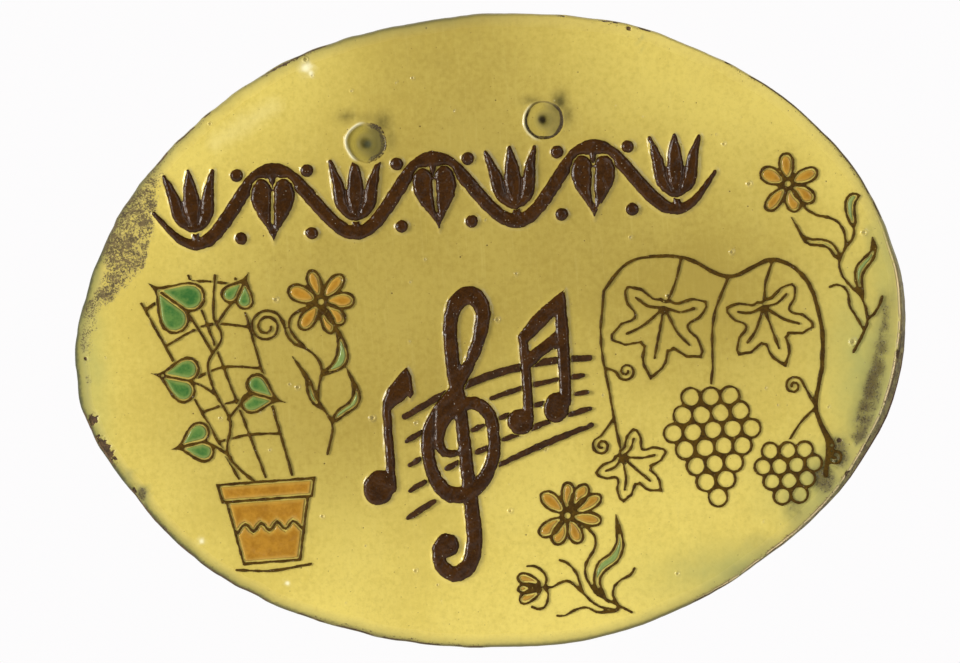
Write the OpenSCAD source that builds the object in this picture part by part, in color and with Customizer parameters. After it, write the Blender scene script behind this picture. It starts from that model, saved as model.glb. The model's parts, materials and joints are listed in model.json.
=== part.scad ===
// Oval ceramic door sign: a slab of brown clay with two screw holes, coated on
// its front with yellow glaze. On the glaze sit thick reliefs of dark slip,
// thin slip drawings and small pools of amber and green glaze.
// The sign stands upright: X runs along the long axis of the oval, Z up, the
// back lies on Y = 0 and the front looks along -Y.

/* [Plaque] */
// Width of the glazed oval
oval_w = 300; // [275:1:340]
// Height of the glazed oval
oval_h = 230; // [215:1:265]
// Thickness of the clay slab
slab_t = 9; // [8:0.5:12]
// Thickness of the yellow glaze
glaze_t = 0.7; // [0.4:0.1:1]
// Radius of the front edge of the clay
edge_r = 3; // [2:0.5:3.5]
// Bevel of the back edge of the clay
back_bevel = 1; // [0.5:0.1:1.5]
// Height above the back at which the glaze stops
glaze_stop = 2; // [1.8:0.1:2.5]
// Length of the tapered lip of the glaze
glaze_lip = 1.2; // [0.8:0.1:1.5]
// How far the side wall leans in towards the front, all round
lean_all = 0.6; // [0.3:0.1:1]
// Extra lean of the side wall at the lower right
lean_right = 2.6; // [0:0.1:3]
// Depth of the hand-cut waviness of the outline
ragged = 0.3; // [0:0.05:0.5]

/* [Screw holes] */
// Distance between the two screw holes along X
hole_spacing = 64.6; // [50:0.1:80]
// Middle of the pair, measured from the middle of the oval
hole_shift = -8.2; // [-12:0.1:12]
// Middle of the pair, measured down from the top of the oval
hole_drop = 42.3; // [38:0.1:44]
// How much higher the right hole sits than the left one
hole_skew = 3.4; // [0:0.1:6]
// Radius of the screw holes in the clay
hole_r = 2.3; // [1.8:0.1:2.8]
// Gap between the screw and the glaze at the mouth of the hole
glaze_hole_gap = 0.3; // [0.2:0.1:0.6]
// Radius of the round seat for the screw head
seat_r = 7.2; // [5.5:0.1:8]
// Depth of the seat in the clay
seat_depth = 1.2; // [0.8:0.1:2]
// Radius of the bead round the seat
bead_r = 0.5; // [0.3:0.1:0.6]

/* [Reliefs] */
// Height of the thick reliefs
relief_t = 1.6; // [1.2:0.1:2.2]
// Height of their crown
crown_t = 0.6; // [0.3:0.1:0.8]
// Step in from the foot of a relief to its crown
crown_step = 0.7; // [0.4:0.1:0.9]
// Gap between pieces that lie side by side
slip_gap = 0.35; // [0.2:0.05:0.5]
// Height of the garland
garland_h = 30; // [25:0.5:31]
// Width of the stem of the garland
garland_w = 5; // [4:0.1:5.6]
// Length of the stalks that carry its tulips and leaves
stalk_l = 1.8; // [1.2:0.1:3]
// Radius of its berries
berry_r = 2.3; // [1.8:0.1:2.6]
// Height of the treble clef
clef_h = 106; // [90:1:110]
// Height of the single note
quaver_h = 49; // [42:1:52]
// Height of the beamed pair of notes
beamed_h = 51; // [44:1:54]
// Length of the staff lines
staff_l = 68; // [60:1:72]
// Distance between the staff lines at their left ends
staff_gap_left = 8.9; // [7:0.1:10]
// Distance between the staff lines in the middle
staff_gap_mid = 8.1; // [6:0.1:9]
// Distance between the staff lines at their right ends
staff_gap_right = 6; // [5:0.1:7]
// Height of the staff lines above the glaze
staff_t = 0.9; // [0.5:0.1:1.2]
// Width of the staff lines
staff_w = 1.9; // [1.4:0.1:2.4]

/* [Drawings] */
// Width of the thin slip lines
line_w = 1.15; // [0.9:0.05:1.4]
// Height of the thin slip lines
line_t = 0.6; // [0.4:0.1:0.8]
// Height of the pools of coloured glaze
pool_t = 0.3; // [0.2:0.05:0.4]
// Bare border between a slip line and the pool inside it
pool_gap = 0.4; // [0.3:0.05:0.6]
// Length of the petals of the daisies
petal_l = 12; // [10:0.5:13]
// Length of the stem of the left daisy
left_stem_h = 49; // [42:1:52]
// Length of the stem of the right daisy
right_stem_h = 56; // [48:1:58]
// Length of the stem of the bottom daisy
bottom_stem_h = 32; // [28:1:33]
// Width of the flower pot at its rim
pot_w = 35; // [28:1:38]
// Height of the flower pot
pot_h = 29; // [24:1:31]
// Height of the trellis above the pot
trellis_h = 80; // [70:1:82]
// Width of the largest heart-shaped leaf
heart_w = 19; // [15:0.5:21]
// Radius of the largest vine leaf
vine_leaf_r = 19; // [15:0.5:20]
// Radius of the grapes
grape_r = 4; // [3.2:0.1:4.4]
// Height of the vine's cane
cane_h = 82; // [70:1:84]

/* [Hidden] */

// Points round the rim
rim_n = 120;
// Steps of the rounded front edge
edge_n = 3;
// Longest step along a thick stroke and along a thin one
coarse = 2.4;
fine = 1.9;
// Overlap that joins the strokes of one drawing
weld = 0.01;
// Overshoot of the cutting tools
cut = 1;

// Height of the front of the clay and of the glaze above the back
clay_front = slab_t;
glaze_front = slab_t + glaze_t;
hole_z = oval_h / 2 - hole_drop;
holes = [
    [hole_shift - hole_spacing / 2, hole_z - hole_skew / 2],
    [hole_shift + hole_spacing / 2, hole_z + hole_skew / 2]
];

// Hand-made swellings of the rim: direction, spread in degrees, height
swellings = [
    [185, 13, 2.9], [147, 24, -1.4], [208, 9, -1.1], [246, 13, -1.1],
    [284, 12, 1.1], [311, 13, -0.6], [68, 12, 0.9], [116, 8, 1],
    [18, 14, -0.7], [345, 24, 1]
];
// Direction and spread of the leaning side wall
lean_at = 340;
lean_spread = 24;

// Places on the face are in percent of half the width and half the height
garland_left = -79;
garland_right = 56;
garland_at = 44.6;
clef_at = [-10, -30];
quaver_at = [-26.7, -30.4];
beamed_at = [12, -12];
staff_at = [0, -28];
left_daisy_at = [-40.7, 13.2];
right_daisy_at = [73.2, 39.1];
bottom_daisy_at = [14.6, -59.3];
pot_at = [-57, -41.7];
vine_at = [53, -17];

function place(share) = [share[0] / 100 * oval_w / 2, share[1] / 100 * oval_h / 2];

// Difference of two directions, from -180 to 180 degrees
function turn(a, b) = (a - b + 540) % 360 - 180;

function bump(a, at, spread) = exp(-pow(turn(a, at) / spread, 2));

// Distance by which the rim stands outside the plain oval
function swell(a) =
    ragged * (0.6 * sin(17 * a + 40) + 0.4 * sin(29 * a))
    + [for (s = swellings) s[2] * bump(a, s[0], s[1])] * [for (s = swellings) 1];

function lean(a) = lean_all + lean_right * bump(a, lean_at, lean_spread);

// One ring of rim points: in_by is how far it lies inside the clay's outline,
// lean_share how much of the lean it has, up its height above the back
function ring(in_by, lean_share, up) = [
    for (k = [0 : rim_n - 1])
        let (
            a = 360 * k / rim_n,
            grow = swell(a) - glaze_t - in_by - lean_share * lean(a)
        )
        [(oval_w / 2 + grow) * cos(a), (oval_h / 2 + grow) * sin(a), up]
];

// Share of the lean that the wall has at a height above the back
wall_top = slab_t - edge_r;
function lean_part(up) = (up - back_bevel) / (wall_top - back_bevel);

// Rings of the rounded front edge, for the clay and, with skin, for the glaze
function edge_rings(skin) = [
    for (k = [0 : edge_n])
        let (phi = 90 * k / edge_n)
        ring(edge_r - (edge_r + skin) * cos(phi), 1, wall_top + (edge_r + skin) * sin(phi))
];

clay_rings = concat(
    [ring(back_bevel, 0, 0), ring(0, 0, back_bevel), ring(0, lean_part(glaze_stop), glaze_stop)],
    edge_rings(0)
);

// The glaze runs from the middle of its inner face out to its lip on the wall
// and back over its outer face
glaze_rings = concat(
    [for (k = [edge_n : -1 : 0]) edge_rings(0)[k]],
    [ring(0, lean_part(glaze_stop), glaze_stop)],
    [ring(-glaze_t, lean_part(glaze_stop + glaze_lip), glaze_stop + glaze_lip)],
    edge_rings(glaze_t)
);

// Solid through a row of rings, closed by a fan at each end
module lofted(rings) {
    n = rim_n;
    last = len(rings) - 1;
    points = concat(
        [for (r = rings) each r],
        [[0, 0, rings[0][0][2]], [0, 0, rings[last][0][2]]]
    );
    first_fan = [for (k = [0 : n - 1]) [(last + 1) * n, k, (k + 1) % n]];
    last_fan = [for (k = [0 : n - 1]) [(last + 1) * n + 1, last * n + (k + 1) % n, last * n + k]];
    bands = [
        for (i = [0 : last - 1])
            for (k = [0 : n - 1])
                let (m = (k + 1) % n)
                each [
                    [i * n + k, (i + 1) * n + k, (i + 1) * n + m],
                    [i * n + k, (i + 1) * n + m, i * n + m]
                ]
    ];
    polyhedron(points, concat(first_fan, bands, last_fan), convexity = 4);
}

// Stands a shape, drawn lying on its back, upright in the sign's frame
module upright() {
    rotate([90, 0, 0]) children();
}

// Lays a drawing on the face of the glaze
module on_glaze() {
    upright() translate([0, 0, glaze_front]) children();
}

module at(share) {
    translate(place(share)) children();
}

module at_holes() {
    for (h = holes) translate(h) children();
}

// Point between b and c on the smooth curve through a, b, c and d
function curve(a, b, c, d, t) =
    0.5 * (2 * b + (c - a) * t + (2 * a - 5 * b + 4 * c - d) * t * t
    + (3 * b - a - 3 * c + d) * t * t * t);

// Smooth curve through the points, in steps no longer than step
function smooth(points, step) =
    let (last = len(points) - 1)
    [
        for (i = [0 : last - 1])
            let (
                a = points[max(i - 1, 0)],
                b = points[i],
                c = points[i + 1],
                d = points[min(i + 2, last)],
                n = max(1, ceil(norm([c[0] - b[0], c[1] - b[1]]) / step))
            )
            for (j = [0 : n - 1]) curve(a, b, c, d, j / n),
        points[last]
    ];

// Smooth curve that closes on itself
function smooth_loop(points, step) =
    let (count = len(points))
    [
        for (i = [0 : count - 1])
            let (
                a = points[(i + count - 1) % count],
                b = points[i],
                c = points[(i + 1) % count],
                d = points[(i + 2) % count],
                n = max(1, ceil(norm(c - b) / step))
            )
            for (j = [0 : n - 1]) curve(a, b, c, d, j / n)
    ];

// Unit vector across the path at point i
function across(path, i) =
    let (
        a = path[max(i - 1, 0)],
        b = path[min(i + 1, len(path) - 1)],
        v = [b[0] - a[0], b[1] - a[1]]
    )
    [-v[1], v[0]] / norm(v);

function edge_point(path, i, side) =
    [path[i][0], path[i][1]] + side * path[i][2] / 2 * across(path, i);

// Brush stroke through points [x, z, width]
module stroke(points, step) {
    path = smooth(points, step);
    last = len(path) - 1;
    for (i = [0 : last - 1])
        polygon([
            edge_point(path, i, 1), edge_point(path, i, -1),
            edge_point(path, i + 1, -1), edge_point(path, i + 1, 1)
        ]);
    for (i = [0, last])
        translate([path[i][0], path[i][1]]) circle(d = path[i][2], $fn = 12);
}

// Thin slip line through points [x, z], enlarged k times
module line(points, k = 1) {
    stroke([for (p = points) [p[0] * k, p[1] * k, line_w]], fine);
}

// Outline of a closed shape
module outline() {
    difference() {
        offset(delta = line_w / 2) children();
        offset(delta = -line_w / 2) children();
    }
}

// Bare ground round pieces that another piece has to keep clear of
module clear_of() {
    offset(delta = slip_gap) children();
}

// Thick relief with a lower crown, from a flat drawing
module relief() {
    linear_extrude(relief_t - crown_t) offset(delta = weld) children();
    translate([0, 0, relief_t - crown_t])
        linear_extrude(crown_t) offset(delta = weld - crown_step) children();
}

module drawn_lines(height = line_t) {
    linear_extrude(height) offset(delta = weld) children();
}

// Clay

module clay_slab() {
    color("saddlebrown") upright() difference() {
        lofted(clay_rings);
        at_holes() {
            translate([0, 0, -cut]) cylinder(r = hole_r, h = slab_t + 2 * cut, $fn = 48);
            translate([0, 0, clay_front - seat_depth])
                cylinder(r = seat_r, h = seat_depth + cut, $fn = 64);
        }
    }
}

// Yellow glaze over the front and the side, lining the two screw seats
module glaze_coat() {
    seat_floor = clay_front - seat_depth;
    color("khaki") upright() difference() {
        union() {
            lofted(glaze_rings);
            at_holes() {
                translate([0, 0, seat_floor])
                    cylinder(r = seat_r, h = seat_depth + glaze_t / 2, $fn = 64);
                translate([0, 0, glaze_front])
                    rotate_extrude($fn = 64) translate([seat_r + bead_r, 0]) circle(r = bead_r, $fn = 16);
            }
        }
        at_holes() {
            translate([0, 0, seat_floor + glaze_t])
                cylinder(r = seat_r - glaze_t, h = seat_depth + glaze_t, $fn = 64);
            translate([0, 0, seat_floor - cut])
                cylinder(r = hole_r + glaze_hole_gap, h = glaze_t + 2 * cut, $fn = 48);
        }
    }
}

// Garland: a wavy stem with a tulip or a leaf in each of its bays

garland_bays = 7;
garland_x0 = place([garland_left, 0])[0];
garland_pitch = place([garland_right - garland_left, 0])[0] / garland_bays;
garland_z = place([0, garland_at])[1];
// Tilt of the piece in each bay, set by eye
bay_tilts = [3, -3, -3, 2, 2, -3, -2];
// How far the middle of the stem swings up and down
wave = (garland_h - garland_w) / 2;
// Room in a bay from the end of the stalk to the edge of the band
bay_base = garland_w / 2 + stalk_l - wave;
bay_h = garland_h / 2 - bay_base;
tulip_w = 0.66 * garland_pitch;
leaf_w = 0.54 * garland_pitch;
stem_steps = 7;

function garland_wave(bay) = -wave * cos(180 * (bay - 0.5));

module mirrored() {
    children();
    mirror([1, 0]) children();
}

// Open flower of three petals on its foot
module tulip() {
    stroke([[0, 1.4, 3], [0, 9, 6.4], [0, 16, 4.4], [0, 20.4, 1.2]], coarse);
    mirrored() stroke([[1.6, 1.8, 3], [5.2, 5.4, 4.6], [6.6, 12, 4.4], [9.4, 19.6, 1.4]], coarse);
}

// Heart-shaped leaf one unit wide: its notch is at the origin and it points up
module heart() {
    polygon([
        for (t = [0 : 12 : 348])
            [16 * pow(sin(t), 3), 5 - 13 * cos(t) + 5 * cos(2 * t) + 2 * cos(3 * t) + cos(4 * t)] / 32
    ]);
}

// Plump leaf with a carved midrib, its lobes at the height of the origin
module leaf_blade() {
    translate([0, 0.17]) heart();
}

module carved_leaf() {
    difference() {
        leaf_blade();
        scale(0.05) stroke([[0, 3, 1.2], [0.4, 9, 1.2], [0, 14, 0.6]], coarse);
    }
}

// Puts a piece one bay high into bay i, above the stem or hanging below it
module in_bay(i, w) {
    translate([garland_x0 + (i + 0.5) * garland_pitch, garland_z])
        rotate(i % 2 == 0 ? 0 : 180) translate([0, bay_base]) rotate(bay_tilts[i])
        resize([w, bay_h]) children();
}

module garland_tulip(i) {
    garland_relief() in_bay(2 * i, tulip_w) tulip();
}

module garland_leaf(i) {
    garland_relief() in_bay(2 * i + 1, leaf_w) carved_leaf();
}

// Two berries between neighbouring bays, moved aside from the tulip
module berry_spots() {
    for (i = [1 : garland_bays - 1])
        for (side = [-1, 1])
            translate([
                garland_x0 + (i + (i % 2 == 0 ? -0.06 : 0.06)) * garland_pitch,
                garland_z + side * (garland_h / 2 - 1.6 * berry_r)
            ])
            children();
}

module garland_berries() {
    garland_relief() berry_spots() circle(r = berry_r, $fn = 20);
}

module garland_stem() {
    garland_relief() difference() {
        translate([garland_x0, garland_z]) {
            stroke([
                for (k = [0 : garland_bays * stem_steps])
                    let (bay = k / stem_steps)
                    [
                        bay * garland_pitch, garland_wave(bay),
                        garland_w * min(1, 0.3 + bay, 0.3 + garland_bays - bay)
                    ]
            ], coarse);
            for (i = [0 : garland_bays - 1])
                stroke([
                    [(i + 0.5) * garland_pitch, garland_wave(i + 0.5), garland_w * 0.6],
                    [(i + 0.5) * garland_pitch, garland_wave(i + 0.5) * 0.5, garland_w * 0.4]
                ], coarse);
        }
        clear_of() {
            berry_spots() circle(r = berry_r, $fn = 20);
            for (i = [0 : garland_bays - 1])
                if (i % 2 == 0) in_bay(i, tulip_w) tulip();
                else in_bay(i, leaf_w) leaf_blade();
        }
    }
}

// Thick slip relief of the garland, which keeps clear of the screw seats
module garland_relief() {
    color("saddlebrown") on_glaze() relief() difference() {
        children();
        at_holes() circle(r = seat_r + 2 * bead_r + slip_gap, $fn = 64);
    }
}

// Music

clef_path = [
    [-2, -8.3, 2.6], [-5.6, -8.1, 3.2], [-7.2, -4.1, 3.6], [-5.8, 1.5, 3.6], [-2.2, 6, 4],
    [3, 9, 4.6], [7.8, 8.6, 4.8], [11.6, 4.5, 4.8], [12.6, -2, 4.6], [12.2, -9.5, 4.6],
    [9, -17, 5], [3, -22.5, 5.8], [-4, -23.3, 6], [-9, -18.5, 5.2], [-11.4, -9.5, 4.8],
    [-10.8, -0.5, 4.8], [-7, 6.5, 4.8], [-1.6, 12.5, 4.8], [3.5, 20, 4.4], [8.2, 28, 4.4],
    [11, 36, 5], [12, 43, 5.8], [8.2, 48.3, 6.8], [2.6, 45.6, 6], [0, 38.5, 5.2],
    [-0.4, 29.5, 5.2], [0, 19.5, 5.2], [1.2, 9.5, 4.8], [1.8, -3.5, 4.8], [2.2, -17.5, 5],
    [2.8, -30.5, 5.6], [2.8, -41.5, 5.8], [0, -49.3, 6], [-5.4, -52, 5.8],
    [-10, -48, 5], [-10.2, -42.4, 5]
];

module clef_shape() {
    at(clef_at) resize([0, clef_h], auto = true) {
        stroke(clef_path, coarse);
        translate([-7.2, -41.4]) circle(r = 4.4, $fn = 24);
    }
}

module quaver_shape() {
    at(quaver_at) resize([0, quaver_h], auto = true) {
        translate([-5, -18.2]) rotate(-20) scale([5.5, 6.4]) circle(r = 1, $fn = 28);
        stroke([[-0.3, -19, 3.6], [-0.2, -5, 3.2], [-0.2, 9, 3.2]], coarse);
        polygon([
            [-1.8, 8], [-1.4, 12.5], [1.2, 17.4], [4.6, 21.2], [8.2, 24.4], [9.6, 21],
            [10, 14.6], [8.6, 12.6], [7.8, 14], [5.6, 12], [1.4, 9.4]
        ]);
    }
}

module beamed_shape() {
    at(beamed_at) resize([0, beamed_h], auto = true) {
        stroke([[-7.3, 10.3, 3.4], [-7.1, -4.2, 3.6], [-7.4, -19.2, 3.6]], coarse);
        stroke([[7.4, 23.6, 2.6], [7, 16.5, 4.4], [6.8, 0, 4.3], [6.2, -14.2, 4]], coarse);
        polygon([
            [-9.2, 11.4], [-4, 17.4], [2, 22.4], [8.8, 26.8], [9.2, 19.8], [4.4, 17.4],
            [-5.2, 9.1], [-9, 8.8]
        ]);
        polygon([[-6, 5], [4.6, 12], [6, 6], [2.6, 5.6], [-5.8, -0.6]]);
        translate([2.8, -15.4]) rotate(-12) scale([4.7, 5.5]) circle(r = 1, $fn = 28);
        translate([-10.6, -19.6]) rotate(-30) scale([4.8, 4.6]) circle(r = 1, $fn = 28);
    }
}

// Height of staff line i at a share of half its length
function staff_height(i, share) =
    let (
        left = 3.7 - staff_gap_left * i,
        mid = 16.8 - staff_gap_mid * i,
        right = 20 - staff_gap_right * i
    )
    mid + (right - left) / 2 * share + ((left + right) / 2 - mid) * share * share;

// Painted stretches of each line, in percent of half the length
staff_dashes = [
    [[-100, 100]],
    [[-100, -78], [-7, 66], [80, 92]],
    [[-98, -84], [-29, -16], [0, 15], [38, 49], [83, 95]],
    [[-100, -84], [-60, -44], [-26, -12], [3, 57], [75, 97]],
    [[-104, -75], [-4, 97]]
];
// Width of each line as a share of the staff line width
staff_weights = [1.35, 0.95, 0.9, 1, 1.1];
staff_steps = 6;

module staff_line(i) {
    w = staff_w * staff_weights[i];
    color("saddlebrown") on_glaze() drawn_lines(staff_t) difference() {
        at(staff_at)
            for (d = staff_dashes[i])
                stroke([
                    for (k = [0 : staff_steps])
                        let (share = (d[0] + (d[1] - d[0]) * k / staff_steps) / 100)
                        [share * staff_l / 2, staff_height(i, share), w * (0.8 + 0.3 * sin(180 * k / staff_steps))]
                ], coarse);
        clear_of() {
            clef_shape();
            beamed_shape();
            quaver_shape();
        }
    }
}

// Daisies

// Petal from the middle of a flower: direction, length, width
module petal(p, k = 1) {
    root = 0.17 * p[1];
    rotate(p[0]) polygon(k * [
        for (t = [0 : 15 : 345])
            [root + (p[1] - root) * (1 - cos(t)) / 2, p[2] / 2 * sin(t) * (1 - 0.2 * cos(t))]
    ]);
}

module petals(list, k) {
    for (p = list) petal(p, k);
}

module petal_outlines(list, k) {
    for (p = list) outline() petal(p, k);
}

// Leaf whose rim runs smoothly through the points
module leaf(points, k) {
    polygon(k * smooth_loop(points, fine));
}

// The drawn rise of a stem, which its length in millimetres is compared with
function rise(points) = points[0][1] - points[len(points) - 1][1];

// Petals are direction, length and width, for petals as long as petal_drawn
petal_drawn = 12;
petal_k = petal_l / petal_drawn;
eye_r = 1.6;

module daisy_eye() {
    outline() circle(r = eye_r, $fn = 20);
}

left_petals = [
    [104, 11.7, 4.6], [46, 12.2, 5], [-2, 12, 5.6], [-48, 11.4, 5.4],
    [-76, 12, 4.2], [-130, 12.2, 5.4], [155, 12.4, 6]
];
left_stem = [
    [-13.8, -6], [-13.3, -10.5], [-10.6, -14.6], [-6, -17], [-2.6, -20.5], [-1.5, -25],
    [-3.2, -32], [-3.2, -36], [0, -42], [0.9, -46], [-1.7, -55]
];
left_twig = [[-4.6, -1.8], [-7.5, -2.4], [-10.6, -4.3], [-12, -7], [-11.4, -10], [-9.4, -13.2], [-7, -16]];
left_leaves = [
    [
        [-1.5, -26.2], [2.7, -22.5], [4.4, -19.5], [5.1, -15.6], [5.5, -10.8],
        [8, -17.2], [8.2, -21.2], [6.3, -24.2], [2.9, -25.5]
    ],
    [[-10.1, -21.6], [-7.6, -27], [-6.9, -33.3], [-5.4, -36.4], [-2.3, -38.5], [-4.4, -33.6], [-6, -28]],
    [
        [1.1, -43.7], [2.9, -39.8], [7.2, -37.2], [9.3, -34.2], [9.3, -30.7], [8.2, -26.4],
        [10.9, -32], [11.5, -35.5], [10.2, -38.5], [6.3, -40.9]
    ]
];
left_k = left_stem_h / rise(left_stem);
// Curl at the head of the left stem: middle, outer and inner radius, turns
curl_middle = [-20.2, -7.6];
curl_out = 6.4;
curl_in = 1.7;
curl_turns = 2;
curl_points = [
    for (k = [0 : 8 * curl_turns])
        let (r = curl_out + (curl_in - curl_out) * k / (8 * curl_turns))
        curl_middle + r * [cos(45 * k), sin(45 * k)]
];

module left_daisy_shape() {
    at(left_daisy_at) {
        daisy_eye();
        petal_outlines(left_petals, petal_k);
        line(left_stem, left_k);
        line(left_twig, left_k);
        line(curl_points, left_k);
        for (l = left_leaves) outline() leaf(l, left_k);
    }
}

right_petals = [
    [90, 11, 5], [20, 11.5, 5], [-37, 11.2, 5.4], [-78, 10.4, 5.2], [-133, 12.1, 4.7], [150, 10.7, 5.8]
];
right_stem = [
    [4.1, -6.2], [6, -9.5], [9.3, -12], [13.5, -13.2], [17.2, -15.3], [19.1, -18.8], [19.3, -24.5],
    [16.8, -29], [16.8, -33.3], [18.6, -37], [23.8, -43.6], [25.3, -50], [24.2, -54.8], [19.3, -62.9]
];
right_twigs = [
    [[19.3, -24.4], [21.9, -22.1], [22.9, -19.3], [22.6, -17]],
    [[12.5, -38.6], [14.9, -37.9], [17.7, -39.1], [19.1, -42.2], [19.1, -45.9], [21, -49.6], [23.7, -55.2]],
    [[31.2, -43.5], [30.2, -46.4], [28, -49.4], [25.2, -51.6]]
];
right_leaves = [
    [
        [22.6, -17.6], [20.8, -13.7], [20.3, -9.9], [21.2, -6.7], [23.3, -5.2], [25.6, -6.2],
        [24, -8.5], [23.4, -11.8], [23.6, -15.1]
    ],
    [
        [2.5, -16.7], [4.4, -19.5], [7.4, -20.8], [11.1, -21.2], [14.4, -22.8], [16.4, -25.8], [16.9, -28.6],
        [15, -27.4], [13.6, -25], [11.1, -23.4], [7.9, -22.9], [5, -21.9]
    ],
    [
        [29.4, -22.5], [30.3, -25.8], [28.9, -29.7], [25.6, -33.5], [24.4, -36.5], [24.3, -42.6],
        [22.3, -38.4], [22, -35.1], [22.8, -32.1], [25.6, -29.1], [28.4, -26.7]
    ]
];
right_k = right_stem_h / rise(right_stem);

module right_daisy_shape() {
    at(right_daisy_at) {
        daisy_eye();
        petal_outlines(right_petals, petal_k);
        line(right_stem, right_k);
        for (t = right_twigs) line(t, right_k);
        for (l = right_leaves) outline() leaf(l, right_k);
    }
}

bottom_petals = [
    [85, 11.8, 4.3], [54, 13, 4.8], [26, 13.8, 4.8], [-14, 12.2, 4.6],
    [-71, 10.7, 5], [-117, 11.3, 5], [-149, 12.2, 5], [135, 12.2, 5.4]
];
bottom_stem = [
    [5.9, -4.5], [8.6, -7], [9.6, -10.8], [8, -14.2], [5.6, -17.6], [4.9, -22],
    [6.3, -26], [9, -29.8], [14, -33], [20.7, -37]
];
bottom_twigs = [
    [[-10.4, -25.6], [-7.4, -25.6], [-4.8, -24.5], [-2.2, -23.8], [0, -25.1], [4.2, -29.6], [9, -34], [16, -35.8]],
    [[-4.1, -16], [-1.7, -17.1], [0.4, -19.3], [2, -22.3], [2.8, -25.8], [3.6, -28.8]],
    [[22.9, -21.2], [21.2, -23.4], [17.8, -24.9], [15.2, -27.1], [14.4, -30.5], [16, -34]],
    [[-6.5, -36.2], [-3.9, -36.5], [-0.9, -35.1], [2.2, -34], [5.2, -34.4], [7.8, -36], [11.3, -36.4], [16, -35.8]],
    [[-16.1, -17.4], [-13.5, -17.5], [-11.2, -19.1], [-9.7, -21.2], [-9.5, -23.2], [-10.4, -25.4]],
    [[-15.4, -32.3], [-13.5, -33.3], [-11.1, -33], [-9.7, -30.9], [-9.2, -28.1], [-10.4, -25.4]]
];
bottom_leaf = [
    [17.8, -2.6], [18.8, -6.3], [19.5, -10.2], [19.1, -14.3], [16.9, -18.2], [13, -20.6],
    [10.9, -22.6], [9.9, -25.4], [11.7, -31.8], [8.6, -27.5], [8, -24], [8.6, -20.6],
    [10.4, -17.6], [14.3, -15.2], [17, -11.5], [17.5, -7.1]
];
bud_at = [-10.4, -25.4];
bud_petals = [[154, 10.4, 4], [181, 9.6, 3.4], [207, 10.4, 4]];
bottom_k = bottom_stem_h / rise(bottom_stem);

module bottom_daisy_shape() {
    at(bottom_daisy_at) {
        daisy_eye();
        petal_outlines(bottom_petals, petal_k);
        line(bottom_stem, bottom_k);
        for (t = bottom_twigs) line(t, bottom_k);
        outline() leaf(bottom_leaf, bottom_k);
        translate(bottom_k * bud_at) petal_outlines(bud_petals, bottom_k);
    }
}

// Pools of coloured glaze inside the lines of a drawing, which is child 0
module pools() {
    linear_extrude(pool_t) offset(delta = weld) difference() {
        offset(delta = -line_w / 2 - pool_gap) children(1);
        offset(delta = pool_gap) children(0);
    }
}

module left_daisy_petals() {
    color("goldenrod") on_glaze()
        for (p = left_petals) pools() {
            left_daisy_shape();
            at(left_daisy_at) petal(p, petal_k);
        }
}

module left_daisy_leaves() {
    color("darkseagreen") on_glaze()
        for (l = left_leaves) pools() {
            left_daisy_shape();
            at(left_daisy_at) leaf(l, left_k);
        }
}

module right_daisy_petals() {
    color("goldenrod") on_glaze()
        for (p = right_petals) pools() {
            right_daisy_shape();
            at(right_daisy_at) petal(p, petal_k);
        }
}

module right_daisy_leaves() {
    color("darkseagreen") on_glaze()
        for (l = right_leaves) pools() {
            right_daisy_shape();
            at(right_daisy_at) leaf(l, right_k);
        }
}

module bottom_daisy_petals() {
    color("goldenrod") on_glaze() {
        for (p = bottom_petals) pools() {
            bottom_daisy_shape();
            at(bottom_daisy_at) petal(p, petal_k);
        }
        for (p = bud_petals) pools() {
            bottom_daisy_shape();
            at(bottom_daisy_at) translate(bottom_k * bud_at) petal(p, bottom_k);
        }
    }
}

module bottom_daisy_leaves() {
    color("darkseagreen") on_glaze() pools() {
        bottom_daisy_shape();
        at(bottom_daisy_at) leaf(bottom_leaf, bottom_k);
    }
}

// Flower pot with a climber on a fan trellis

pot_band = 0.22 * pot_h;

// The pot hangs from the middle of its rim
module pot_rim() {
    polygon([
        [-pot_w / 2, 0], [pot_w / 2, 0],
        [pot_w * 0.46, -pot_band], [-pot_w * 0.46, -pot_band]
    ]);
}

module pot_body() {
    polygon([
        [-pot_w * 0.42, -pot_band], [pot_w * 0.42, -pot_band],
        [pot_w * 0.29, -pot_h], [-pot_w * 0.29, -pot_h]
    ]);
}

module pot_shape() {
    at(pot_at) {
        outline() pot_rim();
        outline() pot_body();
        line([for (k = [-4 : 4]) [k * pot_w * 0.082, -pot_h * (0.56 + 0.05 * (k % 2 == 0 ? 1 : -1))]]);
        line([[-pot_w * 0.37, -pot_h * 1.07], [0, -pot_h * 1.11], [pot_w * 0.4, -pot_h * 1.06]]);
    }
}

module pot_area() {
    at(pot_at) {
        pot_rim();
        pot_body();
    }
}

module pot_glaze() {
    color("goldenrod") on_glaze() {
        pools() {
            pot_shape();
            at(pot_at) pot_rim();
        }
        pools() {
            pot_shape();
            at(pot_at) pot_body();
        }
    }
}

// The climber's leaves: place of the notch as a share of the trellis, size and
// the direction in which the leaf points
hearts = [
    [[-0.31, 0.8], 1.05, 140], [[-0.07, 0.83], 0.62, 62], [[-0.32, 0.48], 0.85, 165],
    [[-0.03, 0.4], 0.75, -20], [[-0.27, 0.2], 0.75, 190]
];
climber_stem = [
    [-0.05, 0], [-0.16, 0.13], [-0.14, 0.28], [-0.2, 0.42], [-0.22, 0.55], [-0.15, 0.66],
    [-0.18, 0.76], [-0.16, 0.94]
];
// Where each leaf stalk leaves the stem
stalk_roots = [[-0.2, 0.6], [-0.17, 0.72], [-0.19, 0.4], [-0.15, 0.29], [-0.15, 0.12]];

module heart_leaf(h) {
    translate(trellis_h * h[0]) rotate(h[2] - 90) scale(heart_w * h[1]) heart();
}

module heart_areas() {
    at(pot_at) for (h = hearts) heart_leaf(h);
}

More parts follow.
